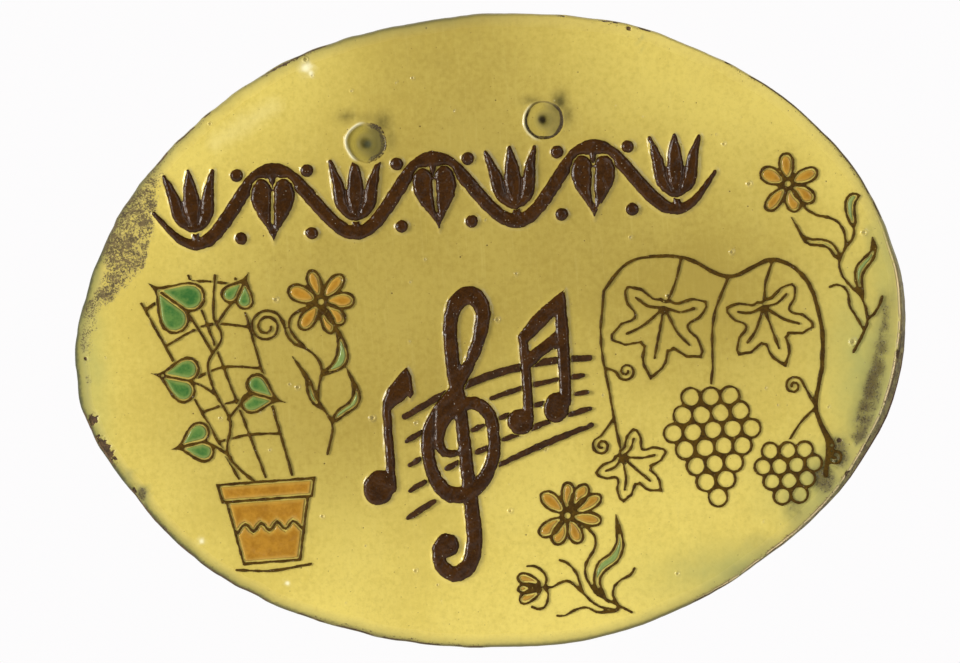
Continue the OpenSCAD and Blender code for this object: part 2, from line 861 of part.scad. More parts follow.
module climber_shape() {
    difference() {
        at(pot_at) {
            for (h = hearts) {
                outline() heart_leaf(h);
                translate(trellis_h * h[0]) rotate(h[2] - 90)
                    line([[0, 0], [0, heart_w * h[1] * 0.5]]);
            }
            line(trellis_h * climber_stem);
            for (i = [0 : len(hearts) - 1])
                line(trellis_h * [stalk_roots[i], (stalk_roots[i] + hearts[i][0]) / 2 + [0, 0.01], hearts[i][0]]);
        }
        clear_of() pot_area();
    }
}

module climber_leaves() {
    color("seagreen") on_glaze()
        for (h = hearts) pools() {
            climber_shape();
            at(pot_at) heart_leaf(h);
        }
}

// Feet and heads of the three rails of the trellis, as shares of its height
rails = [
    [[-0.12, 0.02], [-0.5, 0.84]],
    [[0, 0.02], [-0.28, 0.95]],
    [[0.12, 0.02], [-0.07, 0.92]]
];
trellis_ties = 5;

module trellis_shape() {
    difference() {
        at(pot_at) {
            for (r = rails) line(trellis_h * r);
            for (k = [1 : trellis_ties])
                let (s = k / (trellis_ties + 0.3))
                line(trellis_h * [for (r = rails) r[0] + (r[1] - r[0]) * s + [0, 0.02 * sin(90 * k)]]);
        }
        clear_of() {
            heart_areas();
            climber_shape();
            pot_area();
        }
    }
}

// Grapevine

// Lobed leaf of radius 1 about its middle: its stalk is at the bottom, where
// the notch is, and u is the direction, counted from the tip
function vine_leaf_rim(u) =
    (0.72 + 0.23 * cos(360 * u / 62) + 0.035 * cos(360 * u / 15.5) * (1 - pow(u / 180, 2)))
    * (1 - 0.52 * exp(-pow((180 - abs(u)) / 15, 2))) * (1.08 - 0.16 * abs(u) / 180);

module vine_leaf_blade() {
    polygon([
        for (u = [-180 : 6 : 174])
            vine_leaf_rim(u) * [sin(u), cos(u)]
    ]);
}

// Places in the vine are shares of the cane's height: place, size, direction
vine_leaves = [
    [[-0.23, 0.22], 1, 165], [[0.24, 0.2], 0.87, 196], [[-0.41, -0.39], 0.72, 225]
];

module vine_leaf_area(l) {
    at(vine_at) translate(cane_h * l[0]) rotate(l[2]) scale(vine_leaf_r * l[1]) vine_leaf_blade();
}

// Outline and five veins, which run out from the foot of the stalk
module vine_leaf_shape(l) {
    r = vine_leaf_r * l[1];
    outline() vine_leaf_area(l);
    at(vine_at) translate(cane_h * l[0]) rotate(l[2])
        for (u = [-124, -62, 0, 62, 124])
            line(r * [[0, -0.3], [0.36 * sin(u), 0.36 * cos(u) - 0.06], [0.68 * sin(u), 0.68 * cos(u)]]);
}

// Bunches: place, size of the grapes, grapes in each row
bunches = [
    [[-0.04, -0.12], 1, [3, 4, 5, 4, 3, 2, 1]],
    [[0.28, -0.38], 0.9, [3, 4, 3, 2]]
];

module grapes(b) {
    r = grape_r * b[1];
    pitch = 2 * r - 0.9 * line_w;
    at(vine_at) translate(cane_h * b[0])
        for (row = [0 : len(b[2]) - 1])
            for (k = [0 : b[2][row] - 1])
                translate([
                    pitch * (k - (b[2][row] - 1) / 2) + 0.06 * r * sin(130 * row + 70 * k),
                    -0.87 * pitch * row + 0.06 * r * cos(110 * k + 50 * row)
                ])
                children();
}

module bunch_shape(b) {
    grapes(b) outline() circle(r = grape_r * b[1] - line_w / 2, $fn = 16);
}

module bunch_area(b) {
    grapes(b) circle(r = grape_r * b[1], $fn = 16);
}

// Points of the cane and its twigs, as shares of the cane's height, with widths
// as shares of the slip line
cane = [
    [0.44, -0.5, 1.9], [0.46, -0.36, 1.7], [0.42, -0.2, 1.6], [0.46, -0.02, 1.6], [0.47, 0.16, 1.5],
    [0.42, 0.36, 1.5], [0.28, 0.46, 1.5], [0.08, 0.4, 1.4], [-0.12, 0.5, 1.3], [-0.34, 0.5, 1.2],
    [-0.47, 0.38, 1]
];
cane_twigs = [
    [[0.08, 0.4, 1.1], [0, 0.22, 1], [-0.02, 0, 1], [-0.04, -0.1, 1]],
    [[-0.12, 0.5, 1.1], [-0.16, 0.38, 1], [-0.215, 0.28, 1]],
    [[0.28, 0.46, 1.1], [0.24, 0.36, 1], [0.225, 0.25, 1]],
    [[0.42, -0.2, 1.1], [0.35, -0.26, 1], [0.29, -0.34, 1]],
    [[-0.47, 0.38, 1], [-0.5, 0.16, 1], [-0.48, -0.06, 1], [-0.465, -0.2, 1], [-0.445, -0.35, 1]]
];
// Tendrils: where they start, the middle of the curl, direction at its rim
tendrils = [
    [[0.42, -0.2], [0.33, -0.1], 0],
    [[-0.49, 0.04], [-0.4, 0.02], 180],
    [[-0.465, -0.18], [-0.53, -0.3], 90],
    [[0.45, -0.3], [0.49, -0.42], 90]
];
tendril_r = 0.045;
tendril_turns = 1.5;

function tendril(t) = concat(
    [[t[0][0], t[0][1], 1]],
    [
        for (k = [0 : 8 * tendril_turns])
            let (
                r = tendril_r * (1 - 0.8 * k / (8 * tendril_turns)),
                a = t[2] + 45 * k
            )
            [t[1][0] + r * cos(a), t[1][1] + r * sin(a), 1]
    ]
);

module cane_stroke(points) {
    stroke([for (p = points) [cane_h * p[0], cane_h * p[1], line_w * p[2]]], fine);
}

module cane_shape() {
    at(vine_at) {
        cane_stroke(cane);
        for (t = cane_twigs) cane_stroke(t);
        for (t = tendrils) cane_stroke(tendril(t));
    }
}

module slip_lines() {
    color("saddlebrown") on_glaze() drawn_lines() children();
}

module vine_cane() {
    slip_lines() difference() {
        cane_shape();
        clear_of() {
            for (l = vine_leaves) vine_leaf_area(l);
            for (b = bunches) bunch_area(b);
        }
    }
}

module vine_leaf(i) {
    slip_lines() difference() {
        vine_leaf_shape(vine_leaves[i]);
        clear_of() for (b = bunches) bunch_area(b);
    }
}

module grape_bunch(i) {
    slip_lines() bunch_shape(bunches[i]);
}

clay_slab();
glaze_coat();
garland_stem();
garland_tulip(0);  // garland_tulip_1
garland_tulip(1);  // garland_tulip_2
garland_tulip(2);  // garland_tulip_3
garland_tulip(3);  // garland_tulip_4
garland_leaf(0);  // garland_leaf_1
garland_leaf(1);  // garland_leaf_2
garland_leaf(2);  // garland_leaf_3
garland_berries();
color("saddlebrown") on_glaze() relief() clef_shape();  // treble_clef
color("saddlebrown") on_glaze() relief() quaver_shape();  // quaver_note
color("saddlebrown") on_glaze() relief() beamed_shape();  // beamed_notes
staff_line(0);  // staff_line_1
staff_line(1);  // staff_line_2
staff_line(2);  // staff_line_3
staff_line(3);  // staff_line_4
staff_line(4);  // staff_line_5
slip_lines() left_daisy_shape();  // left_daisy_lines
left_daisy_petals();
left_daisy_leaves();
slip_lines() right_daisy_shape();  // right_daisy_lines
right_daisy_petals();
right_daisy_leaves();
slip_lines() bottom_daisy_shape();  // bottom_daisy_lines
bottom_daisy_petals();
bottom_daisy_leaves();
slip_lines() pot_shape();  // pot_lines
pot_glaze();
slip_lines() trellis_shape();  // trellis
slip_lines() climber_shape();  // climber_lines
climber_leaves();
vine_cane();
vine_leaf(0);  // vine_leaf_1
vine_leaf(1);  // vine_leaf_2
vine_leaf(2);  // vine_leaf_3
grape_bunch(0);  // grape_bunch_1
grape_bunch(1);  // grape_bunch_2
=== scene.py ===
"""Oval ceramic door sign: yellow glaze over dark clay, thick dark slip reliefs,
slip drawings and pools of coloured glaze, as they come out of the kiln.

Everything is in metres in the sign's own frame: X along the oval, Z up, the
back on Y = 0 and the front looking along -Y. Sizes below are in millimetres."""

import json
import math

import bmesh
import bpy
import numpy as np
from mathutils import Matrix, Vector
from mathutils.bvhtree import BVHTree
from mathutils.kdtree import KDTree


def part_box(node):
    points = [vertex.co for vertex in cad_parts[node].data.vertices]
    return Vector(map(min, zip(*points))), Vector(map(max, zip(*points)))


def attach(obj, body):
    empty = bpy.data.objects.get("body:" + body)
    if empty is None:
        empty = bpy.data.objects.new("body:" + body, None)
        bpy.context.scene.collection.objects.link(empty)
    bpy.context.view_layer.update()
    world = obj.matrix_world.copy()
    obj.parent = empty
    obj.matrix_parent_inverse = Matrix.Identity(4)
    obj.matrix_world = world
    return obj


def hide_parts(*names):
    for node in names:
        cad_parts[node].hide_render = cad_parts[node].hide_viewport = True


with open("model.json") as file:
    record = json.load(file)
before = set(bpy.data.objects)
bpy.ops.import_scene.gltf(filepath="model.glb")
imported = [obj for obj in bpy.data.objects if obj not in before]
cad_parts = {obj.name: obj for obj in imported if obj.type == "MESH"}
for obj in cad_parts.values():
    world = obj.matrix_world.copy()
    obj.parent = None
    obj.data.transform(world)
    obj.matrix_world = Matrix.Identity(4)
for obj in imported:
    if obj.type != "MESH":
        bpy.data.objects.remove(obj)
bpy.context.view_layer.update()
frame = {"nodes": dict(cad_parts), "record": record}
NODES = frame["nodes"]
MM = 0.001

# Photograph: its size, pixel of the sign's centre, roll of the sign, size of a pixel, and how
# far the camera stands from the plane where a pixel has that size, a share of the way to the face
PHOTO_W, PHOTO_H = 960, 663
CENTRE_PX = (492.8, 331.0)
SIGN_ROLL = math.radians(4.25)
PIXEL_MM = 0.3605
SHOT_DISTANCE = 1.15
SHOT_PLANE = 0.85
SENSOR = 36.0

# Heights above the back, in millimetres
FRONT = -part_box("treble_clef")[0].y / MM
FACE = -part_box("treble_clef")[1].y / MM
WALL_TOP = 6.0
LIP_TOP = 3.2
LIP_END = 2.0

# The glaze: side of a cell of its net, directions in which its rim is known, rings of cells
# between the face and the rounded edge, its thickness, and the rounded edge's steps, radius and
# depth, which is less at the right
CELL = 2.0
RIM_STEPS = 720
FACE_RINGS = (2.5, 1.8, 1.2, 0.6)
GLAZE_DEPTH = 0.7
EDGE_STEPS = 8
EDGE_R = FACE - WALL_TOP
EDGE_IN = 1.3
EDGE_IN_RIGHT = 0.9

# Glaze that climbs the thick slip: its width, its height and how far it reaches under the slip
CLIMB_W = 1.4
CLIMB_H = 0.72
CLIMB_IN = 0.35

# Distance beyond which no colour looks at how far a point lies
FAR = 20.0

# The drawings' nodes, by how they are made
THICK = [name for name in NODES if name.startswith("garland_")]
THICK += ["treble_clef", "quaver_note", "beamed_notes"]
STAFF = [name for name in NODES if name.startswith("staff_line_")]
DAISIES = ["left_daisy", "right_daisy", "bottom_daisy"]
LINES = [daisy + "_lines" for daisy in DAISIES] + ["pot_lines", "trellis", "climber_lines"]
LINES += ["vine_cane", "vine_leaf_1", "vine_leaf_2", "vine_leaf_3", "grape_bunch_1", "grape_bunch_2"]
AMBER = [daisy + "_petals" for daisy in DAISIES] + ["pot_glaze"]
PALE_GREEN = [daisy + "_leaves" for daisy in DAISIES]
DEEP_GREEN = ["climber_leaves"]

MOUNTS = {m["name"]: m for m in frame["record"]["mounts"]}
HOLES = [(MOUNTS[n]["pos_m"][0] / MM, MOUNTS[n]["pos_m"][2] / MM) for n in ("hole_left", "hole_right")]


# Marks of the kiln on the face, in millimetres and degrees

# Burst blisters: place and radius
BLISTERS = [
    (-77, 17, 0.9), (-71.5, -15, 0.8), (-45.5, -28, 1.0), (-30, -31, 0.7), (2, 4, 0.9), (1.5, -65, 0.8),
    (16, -44, 0.8), (44, -51, 0.8), (129, -13.5, 1.2), (120, -56, 1.0), (136, 25.5, 1.0), (-58, 96.5, 0.5),
    (-60, 102.5, 0.9), (-96, 82, 0.6), (-22, 93, 0.6), (96, 46, 0.9), (88, 22, 0.8), (64, 8, 0.8),
    (-52, 22, 0.6), (-118, 5, 0.6), (-66, -62, 0.7), (-34, -84, 0.7), (60, -92, 0.7), (10, 20, 0.6),
    (-8, 80, 0.5), (52, 30, 0.6), (-100, -24, 0.6), (62, 62, 0.9), (88, 61, 0.7), (22, -8, 0.7),
    (-5, -47, 0.8),
]
# Little ones: their number, and half the width and height of the oval that they keep to
LITTLE_BLISTERS = 40
FIELD_W, FIELD_H = 140, 105
# Painted glints: pale spots of highlight on the glaze: place and radius
PAINTED_GLINTS = [
    (-60, 99.6, 1.9), (-58.4, 97.4, 1.0), (-110.2, -67.7, 0.9), (-80.4, -85.1, 0.7), (121.5, -55, 0.8),
]
# Knocks where the bare clay shows: place, length, width, direction
CHIPS = [
    (-145.9, -21.2, 4.2, 3.0, 70), (-142.3, -32.4, 11, 4.2, -64), (-71, 100.8, 15, 2.0, 20),
    (121.5, -48.5, 2, 1.6, 30), (123.5, -60.5, 2.6, 1.6, 45), (144.8, -19, 1.2, 3.2, 0),
    (33.5, 112, 3.6, 1.8, 0), (57, 105.1, 1.8, 1.6, 0), (-147, 1, 1.4, 1, 80), (-28, -112, 1.6, 1.6, 0),
    (-20.5, -112.8, 2.2, 1.4, 0), (-73, -98.5, 2.4, 1.2, -25), (48.6, 108.6, 2.2, 1.2, -15),
    (-123.4, -62.4, 2.6, 1.6, -50), (-132.8, -47.6, 2.0, 1.2, -58),
]
# Hollow along the lower right rim, where grey-olive glaze has gathered: its line, width and depth
HOLLOW = [
    (147, 14), (143.7, 5), (142.2, -3), (140.7, -11), (137.3, -24), (133.8, -34), (130, -44), (125, -56),
]
HOLLOW_W = 3.6
HOLLOW_DEPTH = 0.45
# Olive stains: place, radii along x and z, strength
STAINS = [
    (121, -53, 6, 8.5, 1.05), (115, -62, 5.5, 7, 1.2), (104, -72, 6, 8.5, 0.75), (90, -84, 8.5, 6, 0.5),
    (84, -93, 11, 5, 0.55), (122, -66, 5, 5, 0.8), (47, -107, 12, 3, 0.3), (138, 24, 2.5, 8, 0.5),
    (61.5, 99.5, 1.2, 4, 0.7), (-141, 30, 2, 5, 0.5), (-147.5, 8, 1.5, 12, 0.6),
    (-147, -10, 1.5, 14, 0.5), (-130.4, -49.2, 2.6, 4.2, 1.05), (-134.6, -42, 1.8, 4, 0.7),
]
# Soft brown smudges and painted shadows in the glaze round the screw seats: place, radii along
# x and z, strength
SMUDGES_AND_SHADOWS = [
    (-46.7, 81, 3.4, 2, 0.6), (-34, 77.8, 3.2, 3.6, 0.7), (-31.5, 71.5, 1.8, 4.5, 0.45),
    (-39, 80, 5, 1.6, 0.3), (30.2, 80.8, 2.6, 3.4, 0.95), (32.4, 76, 2.2, 4, 0.6),
    (19.5, 81.8, 3.4, 1.2, 0.6),
]
# Painted shade and dark reflection, which make the ground duller and darker: place, radii along x and z,
# strength
PAINTED_SHADE_SPOTS = [(1, 47, 80, 49, 0.8), (-60, -16, 76, 60, 1.05), (84, 3, 55, 52, 0.8), (-7, 119, 48, 50, 0.75)]
# Broad greenish tints: place, radii along x and z, strength
TINTS = [
    (134, -28, 14, 32, 1.0), (114, -66, 18, 15, 0.85), (84, -93, 30, 10, 0.9),
    (143, 14, 7, 18, 0.8), (-145, 0, 6, 44, 0.7),
]
# Grey-brown speckled patch at the left: place and half width along its line
PATCH = [
    (-116.5, 65, 2), (-121, 57, 4.5), (-127.5, 48, 8.5), (-130, 39, 7.5), (-131.5, 31, 5),
    (-143.8, 18, 1.6), (-145.6, 10, 1.6), (-146.6, 2, 0.9), (-146.6, -9, -0.3),
]
# Painted sheen: a pale streak of highlight at the upper left, along this band
PAINTED_SHEEN = [(-95, 75, 1.5), (-84, 81, 2.6), (-72, 87, 1.5)]
# Stretches of the rim where the glaze has drawn back: from and to, in degrees from the right
WORN = [(18, 45), (12, 17.5), (58, 67), (116, 128), (-58, -2), (138, 150), (187, 196), (199, 264)]


def srgb(red, green, blue):
    """A colour in 0 to 255 as the eye reads it, as the linear colour that nodes take."""
    parts = [c / 255 for c in (red, green, blue)]
    return tuple(c / 12.92 if c <= 0.04045 else ((c + 0.055) / 1.055) ** 2.4 for c in parts) + (1.0,)


def ripple(points, wavelength, seed, waves=10):
    """Smooth unevenness of about plus or minus one, over points in millimetres."""
    random = np.random.default_rng(seed)
    ways = random.normal(size=(waves, points.shape[1]))
    ways /= np.linalg.norm(ways, axis=1)[:, None]
    pace = 2 * math.pi / wavelength * random.uniform(0.6, 1.5, waves)
    shift = random.uniform(0, 2 * math.pi, waves)
    return np.sin(points @ (ways * pace[:, None]).T + shift).sum(1) / math.sqrt(waves / 2) / 1.6


def step(value, low, high):
    """Smooth step from 0 at low to 1 at high, either way round."""
    share = np.clip((value - low) / (high - low), 0, 1)
    return share * share * (3 - 2 * share)


def bell(value, width):
    return np.exp(-(value / width) ** 2)


def around(turn, start, end, soft):
    """1 for directions between start and end, falling to 0 over soft, in degrees."""
    off = np.abs((turn - (start + end) / 2 + 180) % 360 - 180)
    return 1 - step(off, (end - start) / 2 - soft, (end - start) / 2 + soft)


def sag(flat):
    """Height of the rolled slab's and the melted glaze's unevenness, over points (x, z)."""
    return -0.12 + 0.14 * ripple(flat, 70, 11) + 0.05 * ripple(flat, 22, 12) + 0.012 * ripple(flat, 6, 13)


# Meshes

def node_copy(name):
    """The CAD node's mesh as a bmesh, with its loose triangles joined."""
    bm = bmesh.new()
    bm.from_mesh(NODES[name].data)
    bmesh.ops.remove_doubles(bm, verts=bm.verts, dist=1e-6)
    return bm


def new_object(name, data):
    thing = bpy.data.objects.new(name, data)
    bpy.context.scene.collection.objects.link(thing)
    return thing


def new_piece(name, bm, material):
    mesh = bpy.data.meshes.new(name)
    bm.to_mesh(mesh)
    bm.free()
    piece = new_object(name, mesh)
    mesh.materials.append(material)
    mesh.polygons.foreach_set("use_smooth", [True] * len(mesh.polygons))
    return piece


def coordinates(mesh):
    """The mesh's points in millimetres."""
    flat = np.empty(len(mesh.vertices) * 3)
    mesh.vertices.foreach_get("co", flat)
    return flat.reshape(-1, 3) / MM


def normals(mesh):
    flat = np.empty(len(mesh.vertices) * 3)
    mesh.vertex_normals.foreach_get("vector", flat)
    return flat.reshape(-1, 3)


def set_coordinates(mesh, points):
    mesh.vertices.foreach_set("co", (points * MM).ravel())
    mesh.update()


def set_value(mesh, name, values):
    attribute = mesh.attributes.new(name, "FLOAT", "POINT")
    attribute.data.foreach_set("value", np.asarray(values, np.float32))


def bake_modifiers(piece):
    """Replaces the piece's mesh by what its modifiers make of it."""
    shape = piece.evaluated_get(bpy.context.evaluated_depsgraph_get())
    mesh = bpy.data.meshes.new_from_object(shape)
    piece.modifiers.clear()
    piece.data = mesh


# Slip strokes and pools of glaze

# For each kind: side of the net's cells, rounds of smoothing, stretch of the
# height, growth, and size and length of the unevenness
THICK_STROKE = (0.32, 10, 1.0, 0.06, 0.12, 4.4)
STAFF_STROKE = (0.3, 3, 1.25, 0.03, 0.15, 4.2)
FINE_STROKE = (0.28, 2, 1.25, -0.16, 0.13, 3.8)
POOL = (0.26, 3, 1.3, 0.03, 0.04, 5.0)
# How far a stroke's foot goes down into the glaze
FOOT = 0.45


def slip_piece(name, material, stroke, seed):
    """A stroke with the soft, uneven back that it gets as it dries and melts."""
    cell, rounds, stretch, growth, wobble, length = stroke
    bm = node_copy(name)
    base = -FACE * MM
    for v in bm.verts:
        rise = base - v.co.y
        v.co.y = base + FOOT * MM if rise < 1e-6 else base - rise * stretch
    piece = new_piece(name + "_fired", bm, material)
    net = piece.modifiers.new("net", "REMESH")
    net.mode = "VOXEL"
    net.voxel_size = cell * MM
    net.use_smooth_shade = True
    soft = piece.modifiers.new("soft", "SMOOTH")
    soft.factor = 0.5
    soft.iterations = rounds
    bake_modifiers(piece)
    points = coordinates(piece.data)
    rough = ripple(points, length, seed) + 0.4 * ripple(points, length * 0.37, seed + 1)
    points += normals(piece.data) * (growth + wobble * rough)[:, None]
    points[:, 1] -= sag(points[:, [0, 2]])
    highest = -points[:, 1].min()
    if highest > FRONT:
        risen = np.maximum(-points[:, 1] - FACE, 0)
        points[:, 1] += risen * (highest - FRONT) / (highest - FACE)
    set_coordinates(piece.data, points)
    if stroke is POOL:
        outline = outline_tree([name])
        set_value(piece.data, "inward", [outline.find((x, 0, z))[2] for x, z in points[:, [0, 2]]])
    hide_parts(name)
    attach(piece, "root")


# Rim

class Rim:
    """The sign's outline at one height above its back, by direction, as it is cut by hand."""

    def __init__(self, height, outside=0.3):
        bm = node_copy("glaze_coat")
        tree = BVHTree.FromBMesh(bm)
        bm.free()
        turn = 2 * math.pi * np.arange(RIM_STEPS) / RIM_STEPS
        reach = []
        for a in turn:
            way = Vector((math.cos(a), 0, math.sin(a)))
            hit = tree.ray_cast(way * outside + Vector((0, -height * MM, 0)), -way)[0]
            reach.append(math.hypot(hit.x, hit.z) / MM)
        ways = np.stack([np.cos(turn), np.sin(turn)], 1)
        reach = self.smoothed(np.array(reach), 3)
        cut = ripple(reach[:, None] * ways, 17, 31) + 0.5 * ripple(reach[:, None] * ways, 6, 32)
        reach -= (0.1 + 0.13 * around(np.degrees(turn), 100, 230, 20)) * np.clip(1 + cut, 0, 2.4)
        along = np.roll(reach[:, None] * ways, -4, 0) - np.roll(reach[:, None] * ways, 4, 0)
        self.out = np.stack([along[:, 1], -along[:, 0]], 1)
        self.out /= np.linalg.norm(self.out, axis=1)[:, None]
        self.points = reach[:, None] * ways
        self.reach = reach

    @staticmethod
    def smoothed(values, spread):
        """Values round the rim, each evened out with its neighbours."""
        weights = bell(np.arange(-3 * spread, 3 * spread + 1), 1.4 * spread)
        padded = np.concatenate([values[-3 * spread:], values, values[:3 * spread]])
        return np.convolve(padded, weights / weights.sum(), mode="valid")

    def at(self, turn, inset=0.0):
        """Point of the outline in a direction, moved in by inset."""
        k = (turn / (2 * math.pi) * RIM_STEPS) % RIM_STEPS
        low = int(k) % RIM_STEPS
        high = (low + 1) % RIM_STEPS
        share = k - int(k)
        point = (1 - share) * self.points[low] + share * self.points[high]
        return point - inset * ((1 - share) * self.out[low] + share * self.out[high])

    def depth(self, x, z):
        """About how far points lie inside the outline."""
        turn = np.arctan2(z, x) % (2 * math.pi)
        steps = 2 * math.pi * np.arange(RIM_STEPS + 1) / RIM_STEPS
        reach = np.interp(turn, steps, np.append(self.reach, self.reach[0]))
        k = (turn / (2 * math.pi) * RIM_STEPS).astype(int) % RIM_STEPS
        slant = self.out[k, 0] * np.cos(turn) + self.out[k, 1] * np.sin(turn)
        return (reach - np.hypot(x, z)) * slant


def ridge_share(turn):
    """How much of a sharp ridge the edge has, by direction in degrees."""
    return around(turn, -54, 8, 8)


def edge_inset(turn):
    """How far inside the outline the flat of the face ends."""
    return EDGE_IN + (EDGE_IN_RIGHT - EDGE_IN) * ridge_share(turn)


def ridge_in(turn):
    """How far inside the outline the ridge stands, more at the top than at the bottom."""
    return 0.85 + 0.85 * step(turn, -32, 2)


# Distances on the face

def outline_tree(names, spacing=0.3):
    """Tree of points along the foot of the named nodes."""
    spots = []
    for name in names:
        bm = node_copy(name)
        for edge in bm.edges:
            a, b = (v.co / MM for v in edge.verts)
            if min(a.y, b.y) < -FACE - 0.01 or not any(abs(f.normal.y) < 0.5 for f in edge.link_faces):
                continue
            count = max(1, math.ceil((b - a).length / spacing))
            spots += [(a + (b - a) * k / count) for k in range(count)]
        bm.free()
    tree = KDTree(len(spots))
    for k, spot in enumerate(spots):
        tree.insert((spot.x, 0, spot.z), k)
    tree.balance()
    return tree


def footprint_trees(names):
    trees = []
    for name in names:
        bm = node_copy(name)
        low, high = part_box(name)
        trees.append((low, high, BVHTree.FromBMesh(bm)))
        bm.free()
    return trees


def signed_distance(points, outline, footprints, limit):
    """Distance outside the drawings' feet, negative under them, for points (x, z)."""
    result = np.full(len(points), limit)
    for k, (x, z) in enumerate(points):
        away = outline.find((x, 0, z))[2]
        if away < limit:
            inside = any(
                low.x / MM <= x <= high.x / MM and low.z / MM <= z <= high.z / MM
                and tree.ray_cast(Vector((x * MM, -0.05, z * MM)), Vector((0, 1, 0)))[0] is not None
                for low, high, tree in footprints
            )
            result[k] = -away if inside else away
    return result


def soft_spots(points, spots):
    """For each spot of place, radii and strength, its share at points (x, z)."""
    x, z = points.T
    return [share * np.exp(-((x - sx) / rx) ** 2 - ((z - sz) / rz) ** 2) for sx, sz, rx, rz, share in spots]


def path_distance(points, path):
    """Distance of points (x, z) from a line of points, and how far along it they are."""
    best = np.full(len(points), 1e9)
    place = np.zeros(len(points))
    for i, (a, b) in enumerate(zip(path[:-1], path[1:])):
        a, b = np.array(a[:2]), np.array(b[:2])
        share = np.clip(((points - a) @ (b - a)) / ((b - a) @ (b - a)), 0, 1)
        away = np.linalg.norm(points - a - share[:, None] * (b - a), axis=1)
        nearer = away < best
        best[nearer] = away[nearer]
        place[nearer] = (i + share[nearer]) / (len(path) - 1)
    return best, place


def outside_band(points, band):
    """Distance of points (x, z) outside a band given by places and half widths."""
    away, along = path_distance(points, band)
    return away - np.interp(along, np.linspace(0, 1, len(band)), [w for _, _, w in band])


# Glaze

# The seats of the screws: their radius and depth, and for each the radii of its funnel and of
# the hole's mouth, the hole's depth, the sides in degrees that have the bead, whose crown gets a
# painted highlight, and the dark edge, partly painted shade and partly grainy bare clay, the
# bead's height, the half width of the dark edge, the radii of the painted shade in the hole and
# of its painted shadow halo, and how far to the side and up these two lie
SEAT_R = 6.9
SEAT_FLOOR = 0.55
SEATS = [
    {
        "funnel": 3.8, "mouth": 2.2, "depth": 0.8, "bead": (98, 232), "bead_h": 0.55, "dark": (-88, 80),
        "band": 0.95, "core": 1.7, "halo": 4.7, "core_at": (0.5, -0.5), "halo_at": (1.5, -0.7),
    },
    {
        "funnel": 2.8, "mouth": 1.7, "depth": 1.1, "bead": (130, 245), "bead_h": 0.3, "dark": (-225, 58),
        "band": 0.45, "core": 1.5, "halo": 3.6, "core_at": (-0.7, 0.3), "halo_at": (0.5, 0),
    },
]


def seat_profile(r, seat, beaded, gentle):
    """Height of a seat's surface against the face, by distance from its middle."""
    bead = (0.1 + seat["bead_h"] * beaded) * bell(r - SEAT_R - 0.45, 0.4)
    groove = -0.4 * (1 - 0.7 * gentle) * (1 - 0.9 * seat["bead_h"] * beaded) * bell(r - SEAT_R + 0.2, 0.28)
    floor = -SEAT_FLOOR * (1 - step(r, SEAT_R - 0.5 - 2.2 * gentle, SEAT_R + 0.15))
    funnel = -0.7 * (1 - step(r, 0.2 * seat["mouth"], seat["funnel"]))
    pit = -seat["depth"] * (1 - step(r, 0.2 * seat["mouth"], seat["mouth"]))
    return bead + groove + floor + funnel + pit


def sink_seats(flat, rise):
    """Shapes the screw seats into rise, and gives the values that their colours follow."""
    x, z = flat.T
    names = ("bead", "seat_side", "seat_dim", "seat_band", "hole_shade", "hole_shadow_halo")
    values = {name: np.zeros(len(flat)) for name in names} | {"seat_way": np.full(len(flat), FAR)}
    for k, ((hx, hz), seat) in enumerate(zip(HOLES, SEATS)):
        near = np.hypot(x - hx, z - hz) < SEAT_R + 3
        dx, dz = x[near] - hx, z[near] - hz
        bearing = np.degrees(np.arctan2(dz, dx))
        r = np.hypot(dx, dz) + 0.16 * ripple(flat[near], 8, 20 + k)
        crescent = around(bearing, *seat["bead"], 14)
        gentle = around(bearing, -75, 75, 30)
        rise[near] = 0.4 * rise[near] + seat_profile(r, seat, crescent, gentle)
        # The dark edge: partly painted shade, partly grainy bare clay
        side = np.maximum(around(bearing, *seat["dark"], 22), 1 - seat["band"] - 0.05)
        band = seat["band"] * side * (0.75 + 0.25 * ripple(flat[near], 7, 24))
        # Where the bead's crown gets its painted highlight
        values["bead"][near] = crescent * bell(r - SEAT_R - 0.3, 0.45) * seat["bead_h"] / 0.55
        values["seat_way"][near] = r
        values["seat_dim"][near] = gentle
        values["seat_side"][near] = side
        values["seat_band"][near] = band * (1 + 0.15 * gentle * (hx > 0))
        # Masks of the painted shade in each hole and of the painted shadow halo beside it, off to one side
        for name, share, key in (("hole_shade", 0.3, "core"), ("hole_shadow_halo", 0.25, "halo")):
            off = np.hypot(dx - seat[key + "_at"][0], dz - seat[key + "_at"][1])
            values[name][near] = 1 - step(off, share * seat[key], 1.4 * seat[key])
    return values


def all_blisters():
    """The placed blisters and the scattered little ones."""
    random = np.random.default_rng(5)
    little = []
    while len(little) < LITTLE_BLISTERS:
        x, z = random.uniform(-FIELD_W, FIELD_W), random.uniform(-FIELD_H, FIELD_H)
        if (x / FIELD_W) ** 2 + (z / FIELD_H) ** 2 < 1:
            little.append((x, z, random.uniform(0.3, 0.55)))
    return [(x, z, 1.2 * r) for x, z, r in BLISTERS + little]


def face_net(rim):
    """Even net of square cells over the flat of the face."""
    low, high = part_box("glaze_coat")
    wide = round((high.x - low.x) / MM / CELL) + 2
    tall = round((high.z - low.z) / MM / CELL) + 2
    bm = bmesh.new()
    bmesh.ops.create_grid(bm, x_segments=wide, y_segments=tall, size=0.5)
    for v in bm.verts:
        v.co = Vector((v.co.x * wide * CELL, -FACE, v.co.y * tall * CELL)) * MM
    x, z = np.array([(v.co.x, v.co.z) for v in bm.verts]).T / MM
    kept = rim.depth(x, z) > edge_inset(np.degrees(np.arctan2(z, x))) + FACE_RINGS[0] + 0.45 * CELL
    bmesh.ops.delete(bm, geom=[v for v, keep in zip(bm.verts, kept) if not keep], context="VERTS")
    bmesh.ops.delete(bm, geom=[v for v in bm.verts if not v.link_faces], context="VERTS")
    return bm


